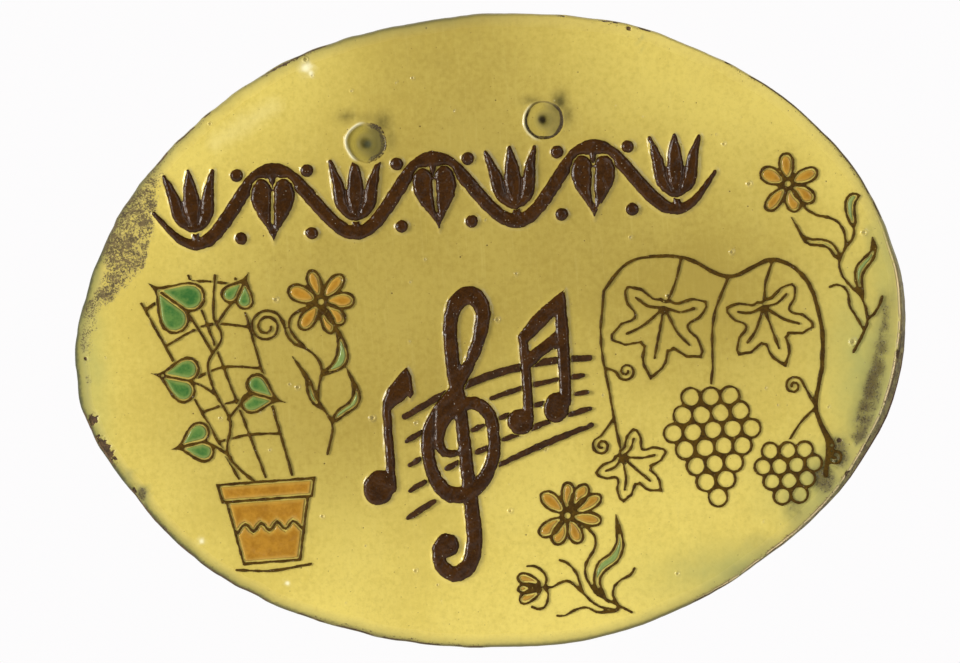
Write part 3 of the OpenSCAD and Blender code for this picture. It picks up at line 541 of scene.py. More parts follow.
def border_turns(border, rounds=30):
    """Direction of each point of the net's stepped border, evened out along it."""
    start = border[0].verts[0]
    loop, edge = [start], border[0]
    while True:
        step_to = edge.other_vert(loop[-1])
        if step_to is start:
            break
        loop.append(step_to)
        edge = next(e for e in step_to.link_edges if e.is_boundary and e is not edge)
    turn = np.unwrap([math.atan2(v.co.z, v.co.x) for v in loop])
    whole = 2 * math.pi * (1 if turn[-1] > turn[0] else -1)
    for _ in range(rounds):
        before = np.concatenate([[turn[-1] - whole], turn[:-1]])
        after = np.concatenate([turn[1:], [turn[0] + whole]])
        turn = (before + 2 * turn + after) / 4
    return dict(zip(loop, turn % (2 * math.pi)))


def edge_rings(bm, rim, low_rim):
    """Carries the net's border out in rings, over the rounded edge and down the wall to the lip."""
    turn = bm.verts.layers.float.new("turn")
    quarter = [math.pi / 2 * (1 - k / EDGE_STEPS) for k in range(EDGE_STEPS + 1)]
    # Outline, share of the edge's own inset, further inset and height of each ring
    profile = [(rim, 1, inset, FACE) for inset in FACE_RINGS]
    profile += [(rim, 1 - math.cos(a), 0, WALL_TOP + EDGE_R * math.sin(a)) for a in quarter]
    wall = [(0, (WALL_TOP + LIP_TOP) / 2), (0.05, LIP_TOP), (0.3, LIP_TOP - 0.7)]
    wall += [(GLAZE_DEPTH + 0.02, LIP_END), (GLAZE_DEPTH + 0.6, LIP_END + 0.4)]
    profile += [(low_rim, 0, inset, height) for inset, height in wall]
    border = [e for e in bm.edges if e.is_boundary]
    for v, direction in border_turns(border).items():
        v[turn] = direction
    for k, (ring, share, inset, height) in enumerate(profile):
        if k:
            made = bmesh.ops.extrude_edge_only(bm, edges=border)["geom"]
            border = [g for g in made if isinstance(g, bmesh.types.BMEdge)]
        for v in {v for e in border for v in e.verts}:
            whole = inset + share * float(edge_inset(math.degrees(v[turn])))
            x, z = ring.at(v[turn], whole)
            v.co = Vector((x, -height, z)) * MM
    bmesh.ops.recalc_face_normals(bm, faces=bm.faces)


def refine(bm, wanted):
    """Halves the cells' edges where wanted says so, for points (x, z)."""
    middles = np.array([((a.co + b.co) / 2).xz for a, b in (e.verts for e in bm.edges)]) / MM
    chosen = [e for e, yes in zip(bm.edges, wanted(middles)) if yes]
    bmesh.ops.subdivide_edges(bm, edges=chosen, cuts=1, use_grid_fill=True)


def near_marks(points, marks, reach):
    """Points (x, z) within reach of one of the marks, which are circles of place and radius."""
    x, z = points.T
    near = np.zeros(len(points), bool)
    for mx, mz, r in marks:
        near |= np.hypot(x - mx, z - mz) < r + reach
    return near


def glaze_net(rim, outline, footprints, spots):
    """The glaze's surface, with smaller cells where it has small forms."""
    bm = face_net(rim)
    edge_rings(bm, rim, Rim(LIP_TOP))
    marks = [(x, z, SEAT_R + 1) for x, z in HOLES] + [(x, z, 1.5 * r) for x, z, r in spots]
    marks += [(x, z, 0.55 * length + 0.6) for x, z, length, _, _ in CHIPS]

    def by_slip(points, reach):
        away = signed_distance(points, outline, footprints, reach)
        return (away < reach) & (away > -CLIMB_IN - 0.7)

    def by_ridge(points):
        x, z = points.T
        turn = np.degrees(np.arctan2(z, x))
        return (np.abs(rim.depth(x, z) - ridge_in(turn)) < 1.3) & (ridge_share(turn) > 0.1)

    refine(bm, lambda p: by_slip(p, CLIMB_W + 1.1) | near_marks(p, marks, 1.3) | by_ridge(p))
    refine(bm, lambda p: by_slip(p, CLIMB_W + 0.1) | near_marks(p, marks, 0.5))
    refine(bm, lambda p: near_marks(p, marks, 0.1))
    bmesh.ops.triangulate(bm, faces=[f for f in bm.faces if len(f.verts) > 4])
    return bm


def chip_share(flat, height):
    """1 on the knocks, 0 off them, with ragged borders; they end a little way down the wall."""
    bare = np.zeros(len(flat))
    ragged = 0.26 * ripple(flat, 2.2, 40) + 0.14 * ripple(flat, 1.0, 41)
    for cx, cz, length, width, angle in CHIPS:
        a = math.radians(angle)
        u = (flat[:, 0] - cx) * math.cos(a) + (flat[:, 1] - cz) * math.sin(a)
        v = (flat[:, 1] - cz) * math.cos(a) - (flat[:, 0] - cx) * math.sin(a)
        d = np.sqrt((2 * u / length) ** 2 + (2 * v / width) ** 2 + ((FACE - height) / 3.6) ** 2)
        bare = np.maximum(bare, 1 - step(d + ragged, 0.75, 1.25))
    return bare


def glaze_piece(material):
    """The yellow glaze: its face, its rounded edge and its lip on the wall."""
    rim = Rim(WALL_TOP - 0.05)
    outline, footprints = outline_tree(THICK), footprint_trees(THICK)
    blisters = all_blisters()
    net = glaze_net(rim, outline, footprints, blisters + PAINTED_GLINTS)
    piece = new_piece("yellow_glaze", net, material)
    mesh = piece.data
    points = coordinates(mesh)
    flat = points[:, [0, 2]]
    x, z = flat.T
    height = -points[:, 1]
    turn = np.degrees(np.arctan2(z, x))
    on_face = step(height, FACE - 1.2, FACE - 0.2)
    from_rim = np.where(height < WALL_TOP, height - WALL_TOP, rim.depth(x, z))

    rise = sag(flat)
    away = signed_distance(flat, outline, footprints, CLIMB_W)
    climb = np.clip((CLIMB_W - away) / (CLIMB_W + CLIMB_IN), 0, 1)
    uneven = 1 + 0.25 * ripple(flat, 14, 14) + 0.12 * ripple(flat, 4, 15)
    rise += CLIMB_H * uneven * climb ** 2 * step(away, -CLIMB_IN - 0.5, -CLIMB_IN) * on_face
    # A blister is a low crater, its rim higher on one side
    # blister_glint holds where each blister gets a painted pale highlight
    blister_glint = np.zeros(len(points))
    for k, (bx, bz, r) in enumerate(blisters):
        d = np.hypot(x - bx, z - bz) / r
        side = 0.7 + 0.3 * np.cos(np.arctan2(z - bz, x - bx) - 2.4 - 0.7 * (k % 3))
        rise += r * (0.5 * side * bell(d - 0.8, 0.3) - 0.5 * bell(d, 0.45))
        blister_glint = np.maximum(blister_glint, min(max(r, 1), 2) * bell(d, 0.6))
    hollow, along = path_distance(flat, HOLLOW)
    hollow += 7 * (1 - step(along, 0, 0.22)) + 7 * step(along, 0.9, 1) - 1.2 * bell(along - 0.72, 0.2)
    rise -= HOLLOW_DEPTH * bell(hollow, HOLLOW_W) * on_face
    ridge_way = from_rim - ridge_in(turn)
    rise += 0.35 * ridge_share(turn) * bell(ridge_way, 0.45) * (1 + 0.4 * ripple(flat, 7, 16))
    values = sink_seats(flat, rise)
    # Painted glints: pale spots added to the values of the seats' painted bead highlight
    for bx, bz, r in PAINTED_GLINTS:
        off = np.hypot(x - bx, z - bz) * (1 + 0.2 * ripple(flat, 3, 27))
        values["bead"] = np.maximum(values["bead"], bell(off, r))
    bare = chip_share(flat, height)
    rise -= 0.5 * bare
    set_coordinates(mesh, points + normals(mesh) * rise[:, None])

    # How far points lie from the shoulder of the rounded edge, where the glaze wears through first
    shoulder = np.hypot(np.maximum(from_rim, 0) - 0.35, (height - FACE + 1.1) / 1.8)
    # Share of painted shade on the edge, by direction: most at the left, least at the top right
    shade = 0.35 + 0.65 * around(turn, 150, 225, 18) + 0.25 * around(turn, 225, 320, 20)
    shade += 0.2 * around(turn, 86, 132, 10) - 0.3 * around(turn, 30, 85, 15)
    values |= {
        "bare": bare,
        "blister_glint": blister_glint,
        "rim_shade": shade,
        "ridge": ridge_share(turn),
        "ridge_way": ridge_way,
        "from_rim": from_rim,
        "shoulder": shoulder,
        "hollow_way": np.maximum(hollow, 0),
        "hollow_low": step(along, 0.3, 0.65),
        "worn": np.clip(sum(around(turn, start, end, 1.2) for start, end in WORN), 0, 1),
        "dull": np.clip(sum(soft_spots(flat, PAINTED_SHADE_SPOTS)), 0, 1.1),
        "stain": np.max(soft_spots(flat, STAINS), 0),
        "smudge_and_shadow": np.max(soft_spots(flat, SMUDGES_AND_SHADOWS), 0),
        "tint": np.max(soft_spots(flat, TINTS), 0),
        "left_hole": (x < 0).astype(float),
        "patch_way": outside_band(flat, PATCH),
        "painted_sheen_way": outside_band(flat, PAINTED_SHEEN),
    }
    for name, value in values.items():
        set_value(mesh, name, np.clip(value, -FAR, FAR))
    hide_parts("glaze_coat")
    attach(piece, "root")


# Node trees

class Nodes:
    """Short hand for building a node tree."""

    def __init__(self, tree):
        self.tree = tree

    def add(self, kind, **values):
        node = self.tree.nodes.new(kind)
        for key, value in values.items():
            setattr(node, key, value)
        return node

    def link(self, source, target):
        self.tree.links.new(source, target)

    def put(self, value, socket):
        """Links an output or sets a constant."""
        if isinstance(value, bpy.types.NodeSocket):
            self.link(value, socket)
        else:
            socket.default_value = value

    def fill(self, kind, *given, **values):
        """The first output of a node whose first inputs get what is given."""
        node = self.add(kind, **values)
        for value, socket in zip(given, node.inputs):
            self.put(value, socket)
        return node.outputs[0]

    def math(self, operation, a, b=0.5):
        return self.fill("ShaderNodeMath", a, b, operation=operation)

    def plus(self, a, b):
        return self.math("ADD", a, b)

    def times(self, a, b):
        return self.math("MULTIPLY", a, b)

    def less(self, a, b):
        return self.math("SUBTRACT", a, b)

    def most(self, a, b):
        return self.math("MAXIMUM", a, b)

    def inverse(self, a):
        return self.less(1.0, a)

    def step(self, value, low, high):
        return self.fill("ShaderNodeMapRange", value, low, high, interpolation_type="SMOOTHSTEP")

    def below(self, value, low, high):
        """1 under low, 0 over high."""
        return self.inverse(self.step(value, low, high))

    def line(self, value, place, half, soft):
        """1 within half of place, 0 beyond soft more."""
        off = self.math("ABSOLUTE", self.less(value, place))
        return self.below(off, half, self.plus(half, soft))

    def mix(self, share, a, b):
        """Colour a, and share of colour b over it, by the node's sockets for colours."""
        node = self.add("ShaderNodeMix", data_type="RGBA", clamp_factor=True)
        for value, k in ((share, 0), (a, 6), (b, 7)):
            self.put(value, node.inputs[k])
        return node.outputs[2]

    def over(self, colour, share, strength, tone):
        """Colour with a tone of red, green and blue over it."""
        return self.mix(self.times(share, strength), colour, srgb(*tone))

    def blend(self, share, a, b):
        """Shader a, and share of shader b over it."""
        return self.fill("ShaderNodeMixShader", share, a, b)

    def place(self, stretch=(1, 1, 1), shift=(0, 0, 0)):
        """Object coordinates in millimetres, stretched and then shifted."""
        spot = self.add("ShaderNodeTexCoord")
        size = self.add("ShaderNodeMapping")
        self.put([s / MM for s in stretch], size.inputs["Scale"])
        self.put(shift, size.inputs["Location"])
        self.link(spot.outputs["Object"], size.inputs["Vector"])
        return size.outputs["Vector"]

    def noise(self, scale, detail=2.0, roughness=0.5, where=None):
        """Noise with scale in features per millimetre."""
        node = self.add("ShaderNodeTexNoise")
        self.link(where or self.place(), node.inputs["Vector"])
        self.put(scale, node.inputs["Scale"])
        self.put(detail, node.inputs["Detail"])
        self.put(roughness, node.inputs["Roughness"])
        return node.outputs["Fac"]

    def wander(self, value, scale, amount, detail=3.0):
        """Value moved up and down by noise."""
        drift = self.less(self.noise(scale, detail, 0.6), 0.5)
        return self.plus(value, self.times(drift, amount))

    def value(self, name):
        return self.add("ShaderNodeAttribute", attribute_name=name).outputs["Fac"]

    def group(self, tree, **inputs):
        node = self.add("ShaderNodeGroup", node_tree=tree)
        for key, value in inputs.items():
            self.put(value, node.inputs[key.replace("_", " ").capitalize()])
        return node.outputs


def new_group(name, inputs, *outputs):
    """A node group with inputs of these first values, and outputs, of which Colour is a colour."""
    tree = bpy.data.node_groups.new(name, "ShaderNodeTree")
    for label, value in inputs.items():
        kind = "NodeSocketColor" if isinstance(value, tuple) else "NodeSocketFloat"
        tree.interface.new_socket(label, in_out="INPUT", socket_type=kind).default_value = value
    for label in outputs:
        kind = "NodeSocketColor" if label == "Colour" else "NodeSocketFloat"
        tree.interface.new_socket(label, in_out="OUTPUT", socket_type=kind)
    nodes = Nodes(tree)
    return tree, nodes, nodes.add("NodeGroupInput").outputs, nodes.add("NodeGroupOutput").inputs


def mottle_group():
    """Two colours in soft clouds, as a melted glaze has them."""
    clouds = {"Light": (1, 1, 1, 1), "Dark": (0, 0, 0, 1), "Scale": 0.1}
    clouds |= {"Fine scale": 1.0, "Fine share": 0.3}
    tree, n, given, result = new_group("mottle", clouds, "Colour")
    broad = n.noise(given["Scale"], 3.0, 0.55)
    fine = n.noise(given["Fine scale"], 3.0, 0.6)
    share = n.plus(broad, n.times(n.less(fine, 0.5), given["Fine share"]))
    n.link(n.mix(n.step(share, 0.3, 0.7), given["Light"], given["Dark"]), result["Colour"])
    return tree


def pinhole_group():
    """Pinholes in the glaze: a mask of their dark mouths and the height of the dent."""
    pits = {"Scale": 0.25, "Size": 0.06, "Density": 0.4}
    tree, n, given, result = new_group("pinholes", pits, "Mouth", "Height")
    cells = n.add("ShaderNodeTexVoronoi")
    n.link(n.place(), cells.inputs["Vector"])
    n.link(given["Scale"], cells.inputs["Scale"])
    luck = n.add("ShaderNodeSeparateColor")
    n.link(cells.outputs["Color"], luck.inputs[0])
    chosen = n.math("LESS_THAN", luck.outputs["Red"], given["Density"])
    size = n.times(given["Size"], n.plus(luck.outputs["Green"], 0.4))
    mouth = n.below(cells.outputs["Distance"], n.times(size, 0.5), size)
    dent = n.below(cells.outputs["Distance"], 0.0, n.times(size, 2.2))
    n.link(n.times(mouth, chosen), result["Mouth"])
    n.link(n.times(n.times(dent, chosen), -1.0), result["Height"])
    return tree


def peel_group():
    """Orange peel of a fired glaze, with the faint streaks of the brush that laid it."""
    tree, n, given, result = new_group("orange_peel", {"Scale": 0.6, "Streaks": 0.3}, "Height")
    streaks = n.noise(1.1, 3.0, 0.6, n.place((1, 1, 0.12)))
    n.link(n.plus(n.noise(given["Scale"]), n.times(streaks, given["Streaks"])), result["Height"])
    return tree


def new_material(name):
    material = bpy.data.materials.new(name)
    material.use_nodes = True
    return material, Nodes(material.node_tree), material.node_tree.nodes["Principled BSDF"]


def finish(n, shader, colour, roughness, height, bump_mm):
    """Gives a shader its colour, roughness and bumps, of which a height of 1 is bump_mm high."""
    bump = n.add("ShaderNodeBump")
    n.put(1.0, bump.inputs["Strength"])
    n.put(bump_mm * MM, bump.inputs["Distance"])
    n.link(height, bump.inputs["Height"])
    n.link(bump.outputs["Normal"], shader.inputs["Normal"])
    n.link(colour, shader.inputs["Base Color"])
    n.link(roughness, shader.inputs["Roughness"])


# Materials

def ground(n, mottle):
    """Yellow, darker and duller in the middle by painted shade, with greenish places, brown smudges
    and painted shadows, and painted pale highlights.
    """
    clouds = {"scale": 0.02, "fine_scale": 0.5, "fine_share": 0.7}
    bright = n.group(mottle, light=srgb(235, 214, 109), dark=srgb(225, 203, 99), **clouds)
    dull = n.group(mottle, light=srgb(182, 161, 76), dark=srgb(172, 150, 67), **clouds)
    # Painted shade: the ground turns to the dull colour where the painted shade spots lie
    thin = n.wander(n.value("dull"), 0.03, 0.25)
    colour = n.mix(thin, bright["Colour"], dull["Colour"])
    streaks = n.noise(0.9, 4.0, 0.65, n.place((1, 1, 0.06)))
    colour = n.over(colour, n.step(streaks, 0.5, 0.8), 0.08, (238, 224, 138))
    grain = n.noise(1.1, 3.0, 0.7)
    colour = n.over(colour, n.step(grain, 0.5, 0.72), 0.14, (150, 130, 58))
    greenish = n.times(n.value("tint"), n.plus(0.5, n.noise(0.12, 3.0, 0.6)))
    colour = n.mix(greenish, colour, srgb(184, 178, 98))
    # Painted sheen: a pale streak of highlight along the band
    painted_sheen = n.times(n.below(n.wander(n.value("painted_sheen_way"), 0.25, 5.0), -3.0, 4.0), 0.3)
    colour = n.mix(painted_sheen, colour, srgb(240, 228, 158))
    # Brown smudges, and painted shadows beside the seats' rings
    smudge_and_shadow = n.times(n.value("smudge_and_shadow"), n.plus(0.6, n.noise(0.5, 4.0, 0.65)))
    colour = n.mix(smudge_and_shadow, colour, srgb(100, 90, 42))
    # Painted highlight on the seats' beads and on the painted glints
    colour = n.over(colour, n.value("bead"), 0.9, (255, 249, 206))
    # Painted pale highlight over the blisters
    return n.over(colour, n.value("blister_glint"), 0.4, (236, 222, 160))


def rim_colours(n, colour):
    """Olive at the edge, partly thin glaze and partly painted shade that is strongest at the
    left, and the brown lines and painted pale highlight of the ridge at the right.
    """
    from_rim = n.value("from_rim")
    shade = n.value("rim_shade")
    # Thin olive edge glaze, darkened by painted shade as rim_shade says
    broad = n.times(n.below(n.wander(from_rim, 0.25, 1.8), 0.6, 5.4), shade)
    colour = n.over(colour, broad, 0.8, (118, 118, 62))
    ragged = n.wander(from_rim, 0.5, 1.3)
    colour = n.mix(n.times(n.below(ragged, 0.6, 2.3), shade), colour, srgb(72, 72, 38))
    ridge = n.value("ridge")
    wall = n.mix(n.step(n.noise(0.5, 4.0, 0.65), 0.4, 0.6), srgb(152, 140, 86), srgb(112, 98, 62))
    wavy = n.wander(n.value("ridge_way"), 0.12, 0.6)
    colour = n.mix(n.times(n.below(n.wander(wavy, 0.6, 0.5), -0.75, -0.35), ridge), colour, wall)
    broken = n.step(n.noise(0.4, 4.0, 0.6), 0.36, 0.46)
    # Two brown lines of thin glaze, and a pale line that is a painted highlight on the ridge
    for place, half, strength, tone in (
        (0.42, 0.08, 0.75, srgb(104, 74, 42)),
        (-0.4, 0.12, 0.85, srgb(90, 60, 38)),
        (0.0, 0.16, 0.75, srgb(232, 206, 160)),
    ):
        mark = n.times(n.line(wavy, place, half, 0.2), n.times(ridge, strength))
        colour = n.mix(n.times(mark, broken), colour, tone)
    return colour


def stain_colours(n, colour):
    """Olive stains with a darker, pitted middle."""
    way = n.wander(n.value("hollow_way"), 0.22, 3.0)
    spread = n.wander(n.value("stain"), 0.3, 0.4)
    low = n.value("hollow_low")
    soft = n.most(n.below(way, 0.4, 6.2), n.step(spread, 0.1, 0.9))
    streak = n.times(n.below(way, 0.2, n.plus(2.3, low)), n.plus(0.62, n.times(low, 0.38)))
    core = n.most(streak, n.times(n.step(spread, 0.55, 1.0), 0.85))
    colour = n.over(colour, soft, 0.75, (152, 147, 84))
    colour = n.over(colour, core, 0.85, (88, 73, 42))
    pitted = n.times(n.step(n.noise(1.5, 4.0, 0.7), 0.53, 0.6), n.step(n.plus(soft, core), 0.7, 1.5))
    return n.over(colour, pitted, 0.75, (62, 50, 32)), pitted


def seat_colours(n, colour):
    """Darker glaze in the screw seats, their dark, grainy edge, partly painted shade, and the painted
    shade and painted shadow halo of the holes.
    """
    way = n.value("seat_way")
    left = n.value("left_hole")
    floor = n.times(n.below(way, SEAT_R - 0.5, SEAT_R), n.plus(0.25, n.times(left, 0.45)))
    colour = n.mix(floor, colour, srgb(152, 137, 52))
    dim = n.times(n.below(way, SEAT_R - 0.5, SEAT_R), n.times(n.step(way, 2.0, 5.5), n.value("seat_dim")))
    colour = n.mix(n.times(dim, n.plus(0.68, n.times(left, 0.2))), colour, srgb(88, 78, 16))
    # The dark edge, partly painted shade and partly grainy bare clay
    band = n.value("seat_band")
    middle = n.less(n.plus(SEAT_R - 0.05, n.times(left, 0.4)), band)
    edge = n.line(n.wander(way, 0.7, n.plus(0.4, n.times(left, 0.8))), middle, band, 0.3)
    grain = n.step(n.noise(1.5, 4.0, 0.7), 0.42, 0.54)
    grain = n.plus(n.plus(0.8, n.times(left, -0.5)), n.times(grain, n.plus(0.2, n.times(left, 0.5))))
    colour = n.mix(n.times(edge, n.times(grain, n.value("seat_side"))), colour, srgb(56, 40, 12))
    # Painted shadow halo beside each hole, and painted shade in the hole, greenish in the left one
    halo = n.wander(n.value("hole_shadow_halo"), 0.5, 0.25)
    colour = n.over(colour, halo, 0.85, (94, 85, 18))
    deep = n.mix(left, srgb(48, 36, 10), srgb(54, 57, 26))
    return n.mix(n.times(n.value("hole_shade"), 0.9), colour, deep), dim


def patch_colours(n, colour):
    """Grey-brown speckled patch that trails off along the rim."""
    cover = n.below(n.wander(n.value("patch_way"), 0.16, 8.0), -3.0, 2.0)
    clumps = n.noise(0.24, 3.0, 0.6)
    grains = n.plus(n.noise(1.6, 5.0, 0.75), n.times(n.less(clumps, 0.5), 0.42))
    speckle = n.times(n.step(n.plus(grains, n.times(cover, 0.1)), 0.55, 0.63), n.step(cover, 0.02, 0.3))
    colour = n.over(colour, cover, 0.25, (150, 138, 84))
    colour = n.over(colour, n.times(cover, n.step(clumps, 0.46, 0.62)), 0.4, (118, 102, 64))
    tone = n.mix(n.step(n.noise(0.5, 3.0), 0.4, 0.6), srgb(100, 82, 52), srgb(72, 58, 38))
    return n.mix(n.times(speckle, 0.9), colour, tone), speckle


def worn_share(n):
    """Bare clay: the knocks, and thin broken lines along worn stretches of the rim."""
    knocks = n.wander(n.value("bare"), 0.9, 0.6, 4.0)
    edge = n.times(n.below(n.wander(n.value("shoulder"), 0.12, 0.9), 0.4, 0.9), n.value("worn"))
    edge = n.times(edge, n.step(n.noise(0.16, 2.0, 0.5), 0.36, 0.5))
    from_rim = n.value("from_rim")
    close = n.times(n.times(n.below(from_rim, 0.5, 3.8), n.step(from_rim, -2.0, -0.3)), n.value("worn"))
    specks = n.times(n.step(n.noise(1.4, 4.0, 0.7), 0.57, 0.63), n.times(close, 0.85))
    return n.step(n.most(n.most(knocks, edge), specks), 0.42, 0.56)


def yellow_glaze(mottle, pinholes, peel):
    material, n, shader = new_material("yellow_glaze")
    holes = n.group(pinholes, scale=0.17, size=0.08, density=0.5)
    fine_holes = n.group(pinholes, scale=0.55, size=0.11, density=0.16)
    colour = ground(n, mottle)
    colour = n.over(colour, fine_holes["Mouth"], 0.7, (112, 90, 40))
    colour = n.over(colour, holes["Mouth"], 0.9, (70, 50, 24))
    colour = rim_colours(n, colour)
    colour, pitted = stain_colours(n, colour)
    colour, dim = seat_colours(n, colour)
    colour, speckle = patch_colours(n, colour)
    bare = worn_share(n)
    brown, umber = srgb(104, 78, 42), srgb(62, 46, 24)
    clay = n.group(mottle, light=brown, dark=umber, scale=0.5, fine_scale=2.0, fine_share=0.6)
    colour = n.mix(bare, colour, clay["Colour"])
    thin = n.times(n.below(n.value("from_rim"), 2.0, 6.0), n.most(n.value("rim_shade"), 0.5))
    dull = n.most(n.most(bare, speckle), n.most(thin, dim))
    dull = n.most(dull, n.value("hole_shadow_halo"))
    rough = n.plus(n.plus(0.17, n.times(n.noise(0.12, 3.0), 0.12)), n.times(dull, 0.6))
    height = n.plus(n.group(peel, scale=0.45, streaks=0.3)["Height"], n.times(holes["Height"], 1.6))
    height = n.plus(height, fine_holes["Height"])
    height = n.plus(height, n.times(n.most(pitted, speckle), -0.7))
    finish(n, shader, colour, rough, height, 0.055)
    return material


def fired_slip(name, mottle, pinholes, light, dark, roughness, shine, bump_mm, gaps):
    """Dark slip, glossy, with pits, pale crumbs that are painted glints, and gaps that let the yellow show.
    """
    material, n, shader = new_material(name)
    cloud = n.group(mottle, light=light, dark=dark, scale=0.22, fine_scale=1.6, fine_share=0.9)
    pits = n.group(pinholes, scale=0.8, size=0.16, density=0.35)
    slip_glints = n.group(pinholes, scale=0.95, size=0.17, density=0.2)
    frosted = n.times(n.step(n.noise(2.6, 5.0, 0.75), 0.58, 0.74), 0.14)
    colour = n.mix(frosted, cloud["Colour"], srgb(108, 80, 48))
    colour = n.over(colour, pits["Mouth"], 0.7, (26, 14, 8))
    # Painted glints: pale specks on the slip
    colour = n.over(colour, slip_glints["Mouth"], 0.6, (206, 196, 172))
    thin = n.times(n.step(n.noise(0.9, 4.0, 0.7), 0.7 - gaps, 0.76 - gaps), 0.8)
    colour = n.mix(thin, colour, srgb(176, 156, 78))
    rough = n.plus(roughness, n.times(n.noise(0.7, 3.0), 0.2))
    n.put(shine, shader.inputs["Specular IOR Level"])
    height = n.plus(n.noise(1.1, 4.0, 0.65), n.times(pits["Height"], 0.8))
    finish(n, shader, colour, rough, height, bump_mm)
    return material


def pooled_glaze(name, mottle, peel, light, dark, pale):
    """Coloured glaze that lies in a drawing, deeper in the middle than at its edge."""
    material, n, shader = new_material(name)
    cloud = n.group(mottle, light=light, dark=dark, scale=0.2, fine_scale=0.9, fine_share=0.5)
    border = n.below(n.wander(n.value("inward"), 0.6, 0.7), 0.1, 1.6)
    colour = n.mix(n.times(border, 0.6), cloud["Colour"], pale)
    rough = n.plus(0.14, n.times(n.noise(0.5), 0.12))
    finish(n, shader, colour, rough, n.group(peel, scale=0.7, streaks=0.1)["Height"], 0.03)
    return material


def bare_clay(mottle, pinholes):
    """Gritty unglazed earthenware of the back, with the print of the cloth it was rolled on."""
    material, n, shader = new_material("brown_clay")
    tan, brown = srgb(106, 74, 50), srgb(88, 60, 40)
    cloud = n.group(mottle, light=tan, dark=brown, scale=0.025, fine_scale=0.5, fine_share=0.7)
    grog = n.group(pinholes, scale=0.6, size=0.17, density=0.3)
    pits = n.group(pinholes, scale=0.35, size=0.14, density=0.25)
    colour = n.over(cloud["Colour"], grog["Mouth"], 0.45, (142, 110, 80))
    colour = n.over(colour, pits["Mouth"], 0.8, (40, 27, 18))
    scuffs = n.step(n.noise(0.22, 6.0, 0.72, n.place((0.3, 1, 1))), 0.54, 0.7)
    colour = n.over(colour, scuffs, 0.5, (140, 106, 76))
    stains = n.step(n.noise(0.03, 3.0, 0.6), 0.56, 0.66)
    colour = n.over(colour, stains, 0.4, (66, 45, 31))
    rough = n.plus(0.72, n.times(n.noise(0.4, 3.0), 0.2))
    warp = n.noise(1.3, 1.0, 0.4, n.place((1, 1, 0.1)))
    weft = n.noise(1.3, 1.0, 0.4, n.place((0.1, 1, 1)))
    height = n.plus(n.plus(n.noise(0.9, 5.0, 0.7), n.times(pits["Height"], 1.5)), n.plus(warp, weft))
    finish(n, shader, colour, rough, height, 0.12)
    return material


# Studio

# Colour and strength of the white behind the sign, and strength of the room in front of it as
# it lights the sign and as the gloss shows it
WHITE = (1, 0.992, 0.996, 1)
BACKDROP = 0.98
ROOM = 0.36
ROOM_IN_GLOSS = 0.09
# The floor: half its side, and its middle's place along y and z
FLOOR_HALF = 1.2
FLOOR_Y, FLOOR_Z = -0.1, -0.32


def camera():
    """The photograph's view: straight at the sign, rolled as the sign lies in it."""
    lens = bpy.data.cameras.new("camera")
    eye = new_object("camera", lens)
    lens.sensor_width = SENSOR
    lens.lens = SENSOR * SHOT_DISTANCE / (PHOTO_W * PIXEL_MM * MM)
    lens.clip_start = 0.01
    across = (PHOTO_W / 2 - CENTRE_PX[0]) * PIXEL_MM * MM
    down = (PHOTO_H / 2 - CENTRE_PX[1]) * PIXEL_MM * MM
    x = across * math.cos(SIGN_ROLL) - down * math.sin(SIGN_ROLL)
    z = -across * math.sin(SIGN_ROLL) - down * math.cos(SIGN_ROLL)
    eye.matrix_world = (
        Matrix.Translation((x, -SHOT_DISTANCE - SHOT_PLANE * FACE * MM, z))
        @ Matrix.Rotation(math.pi / 2, 4, "X")
        @ Matrix.Rotation(-SIGN_ROLL, 4, "Z")
    )
    bpy.context.scene.camera = eye


def lamp(name, place, size, power, colour):
    """A rectangular lamp that looks at the sign."""
    light = bpy.data.lights.new(name, "AREA")
    light.shape = "RECTANGLE"
    light.size, light.size_y = size
    light.energy = power
    light.color = colour
    holder = new_object(name, light)
    holder.location = place
    holder.rotation_euler = (-Vector(place)).to_track_quat("-Z", "Y").to_euler()


def surroundings():
    """White behind the sign, a dimmer room in front of it."""
    world = bpy.data.worlds.new("studio")
    bpy.context.scene.world = world
    world.use_nodes = True
    n = Nodes(world.node_tree)
    shine = world.node_tree.nodes["Background"]
    path = n.add("ShaderNodeLightPath")
    way = n.add("ShaderNodeSeparateXYZ")
    n.link(n.add("ShaderNodeTexCoord").outputs["Generated"], way.inputs[0])
    behind = n.times(path.outputs["Is Glossy Ray"], n.step(way.outputs["Y"], -0.1, 0.1))
    seen = n.most(path.outputs["Is Camera Ray"], path.outputs["Is Transmission Ray"])
    n.put(WHITE, shine.inputs["Color"])
    front = n.times(path.outputs["Is Glossy Ray"], n.inverse(behind))
    level = n.plus(ROOM, n.times(n.most(seen, behind), BACKDROP - ROOM))
    n.link(n.less(level, n.times(front, ROOM - ROOM_IN_GLOSS)), shine.inputs["Strength"])


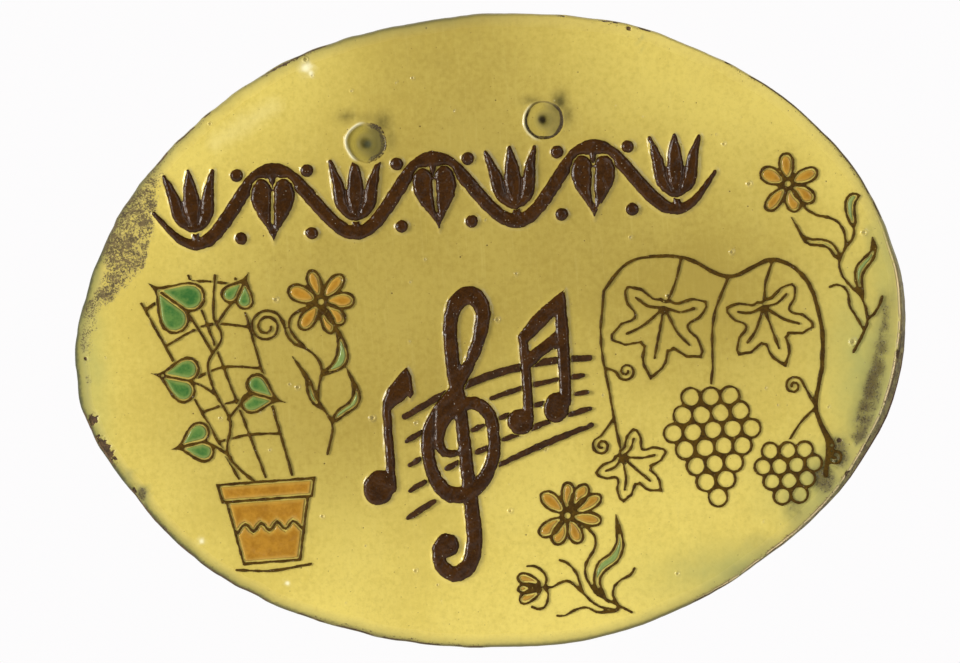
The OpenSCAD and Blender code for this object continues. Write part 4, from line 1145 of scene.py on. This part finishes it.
def floor():
    """Pale floor that keeps the sign's shadow, fades into the white and is clear from below."""
    bm = bmesh.new()
    bmesh.ops.create_grid(bm, x_segments=1, y_segments=1, size=FLOOR_HALF)
    bmesh.ops.translate(bm, verts=bm.verts, vec=(0, FLOOR_Y, FLOOR_Z))
    material, n, shader = new_material("pale_floor")
    n.put((0.9, 0.9, 0.9, 1), shader.inputs["Base Color"])
    n.put(0.9, shader.inputs["Roughness"])
    glow = n.add("ShaderNodeEmission")
    n.put(WHITE, glow.inputs["Color"])
    n.put(BACKDROP, glow.inputs["Strength"])
    parts = n.add("ShaderNodeSeparateXYZ")
    n.link(n.place((MM, MM, 0), (0, -FLOOR_Y, 0)), parts.inputs[0])
    x, y = parts.outputs["X"], parts.outputs["Y"]
    off = n.plus(n.times(x, x), n.times(y, y))
    fade = n.times(n.step(off, 0.12, 1.2), n.add("ShaderNodeLightPath").outputs["Is Camera Ray"])
    clear = n.add("ShaderNodeBsdfTransparent")
    seen = n.blend(fade, shader.outputs[0], glow.outputs[0])
    seen = n.blend(n.add("ShaderNodeNewGeometry").outputs["Backfacing"], seen, clear.outputs[0])
    n.link(seen, material.node_tree.nodes["Material Output"].inputs["Surface"])
    new_piece("floor", bm, material)


def sign():
    mottle, pinholes, peel = mottle_group(), pinhole_group(), peel_group()
    slip, pool = (mottle, pinholes), (mottle, peel)
    thick = fired_slip(
        "thick_slip", *slip, srgb(67, 38, 5), srgb(50, 27, 3),
        roughness=0.12, shine=0.34, bump_mm=0.11, gaps=0.0,
    )
    staff = fired_slip(
        "staff_slip", *slip, srgb(66, 38, 9), srgb(50, 28, 5),
        roughness=0.26, shine=0.25, bump_mm=0.07, gaps=0.04,
    )
    fine = fired_slip(
        "line_slip", *slip, srgb(86, 62, 4), srgb(64, 43, 2),
        roughness=0.34, shine=0.15, bump_mm=0.06, gaps=0.05,
    )
    amber = pooled_glaze("amber_glaze", *pool, srgb(182, 131, 38), srgb(160, 111, 26), srgb(194, 156, 66))
    pale = pooled_glaze("pale_leaf_glaze", *pool, srgb(128, 154, 82), srgb(92, 132, 70), srgb(154, 162, 90))
    deep = pooled_glaze("deep_leaf_glaze", *pool, srgb(94, 130, 60), srgb(54, 104, 46), srgb(146, 158, 80))
    glaze_piece(yellow_glaze(mottle, pinholes, peel))
    kinds = (
        (THICK, thick, "brown_slip", THICK_STROKE),
        (STAFF, staff, "brown_slip", STAFF_STROKE),
        (LINES, fine, "brown_slip", FINE_STROKE),
        (AMBER, amber, "amber_glaze", POOL),
        (PALE_GREEN, pale, "pale_green_glaze", POOL),
        (DEEP_GREEN, deep, "deep_green_glaze", POOL),
    )
    for i, (names, material, slot, stroke) in enumerate(kinds):
        for k, name in enumerate(names):
            slip_piece(name, material, stroke, 100 + 50 * i + 2 * k)
    slab = NODES["clay_slab"]
    slab.data.materials.clear()
    slab.data.materials.append(bare_clay(mottle, pinholes))


camera()
surroundings()
floor()
lamp("window", place=(-2.0, -1.3, 0.45), size=(0.74, 1.0), power=53, colour=(1, 0.985, 0.96))
lamp("fill", place=(1.1, -1.5, 0.5), size=(1.0, 1.0), power=7, colour=(1, 1, 1))
sign()
bpy.context.scene.view_settings.view_transform = "Standard"
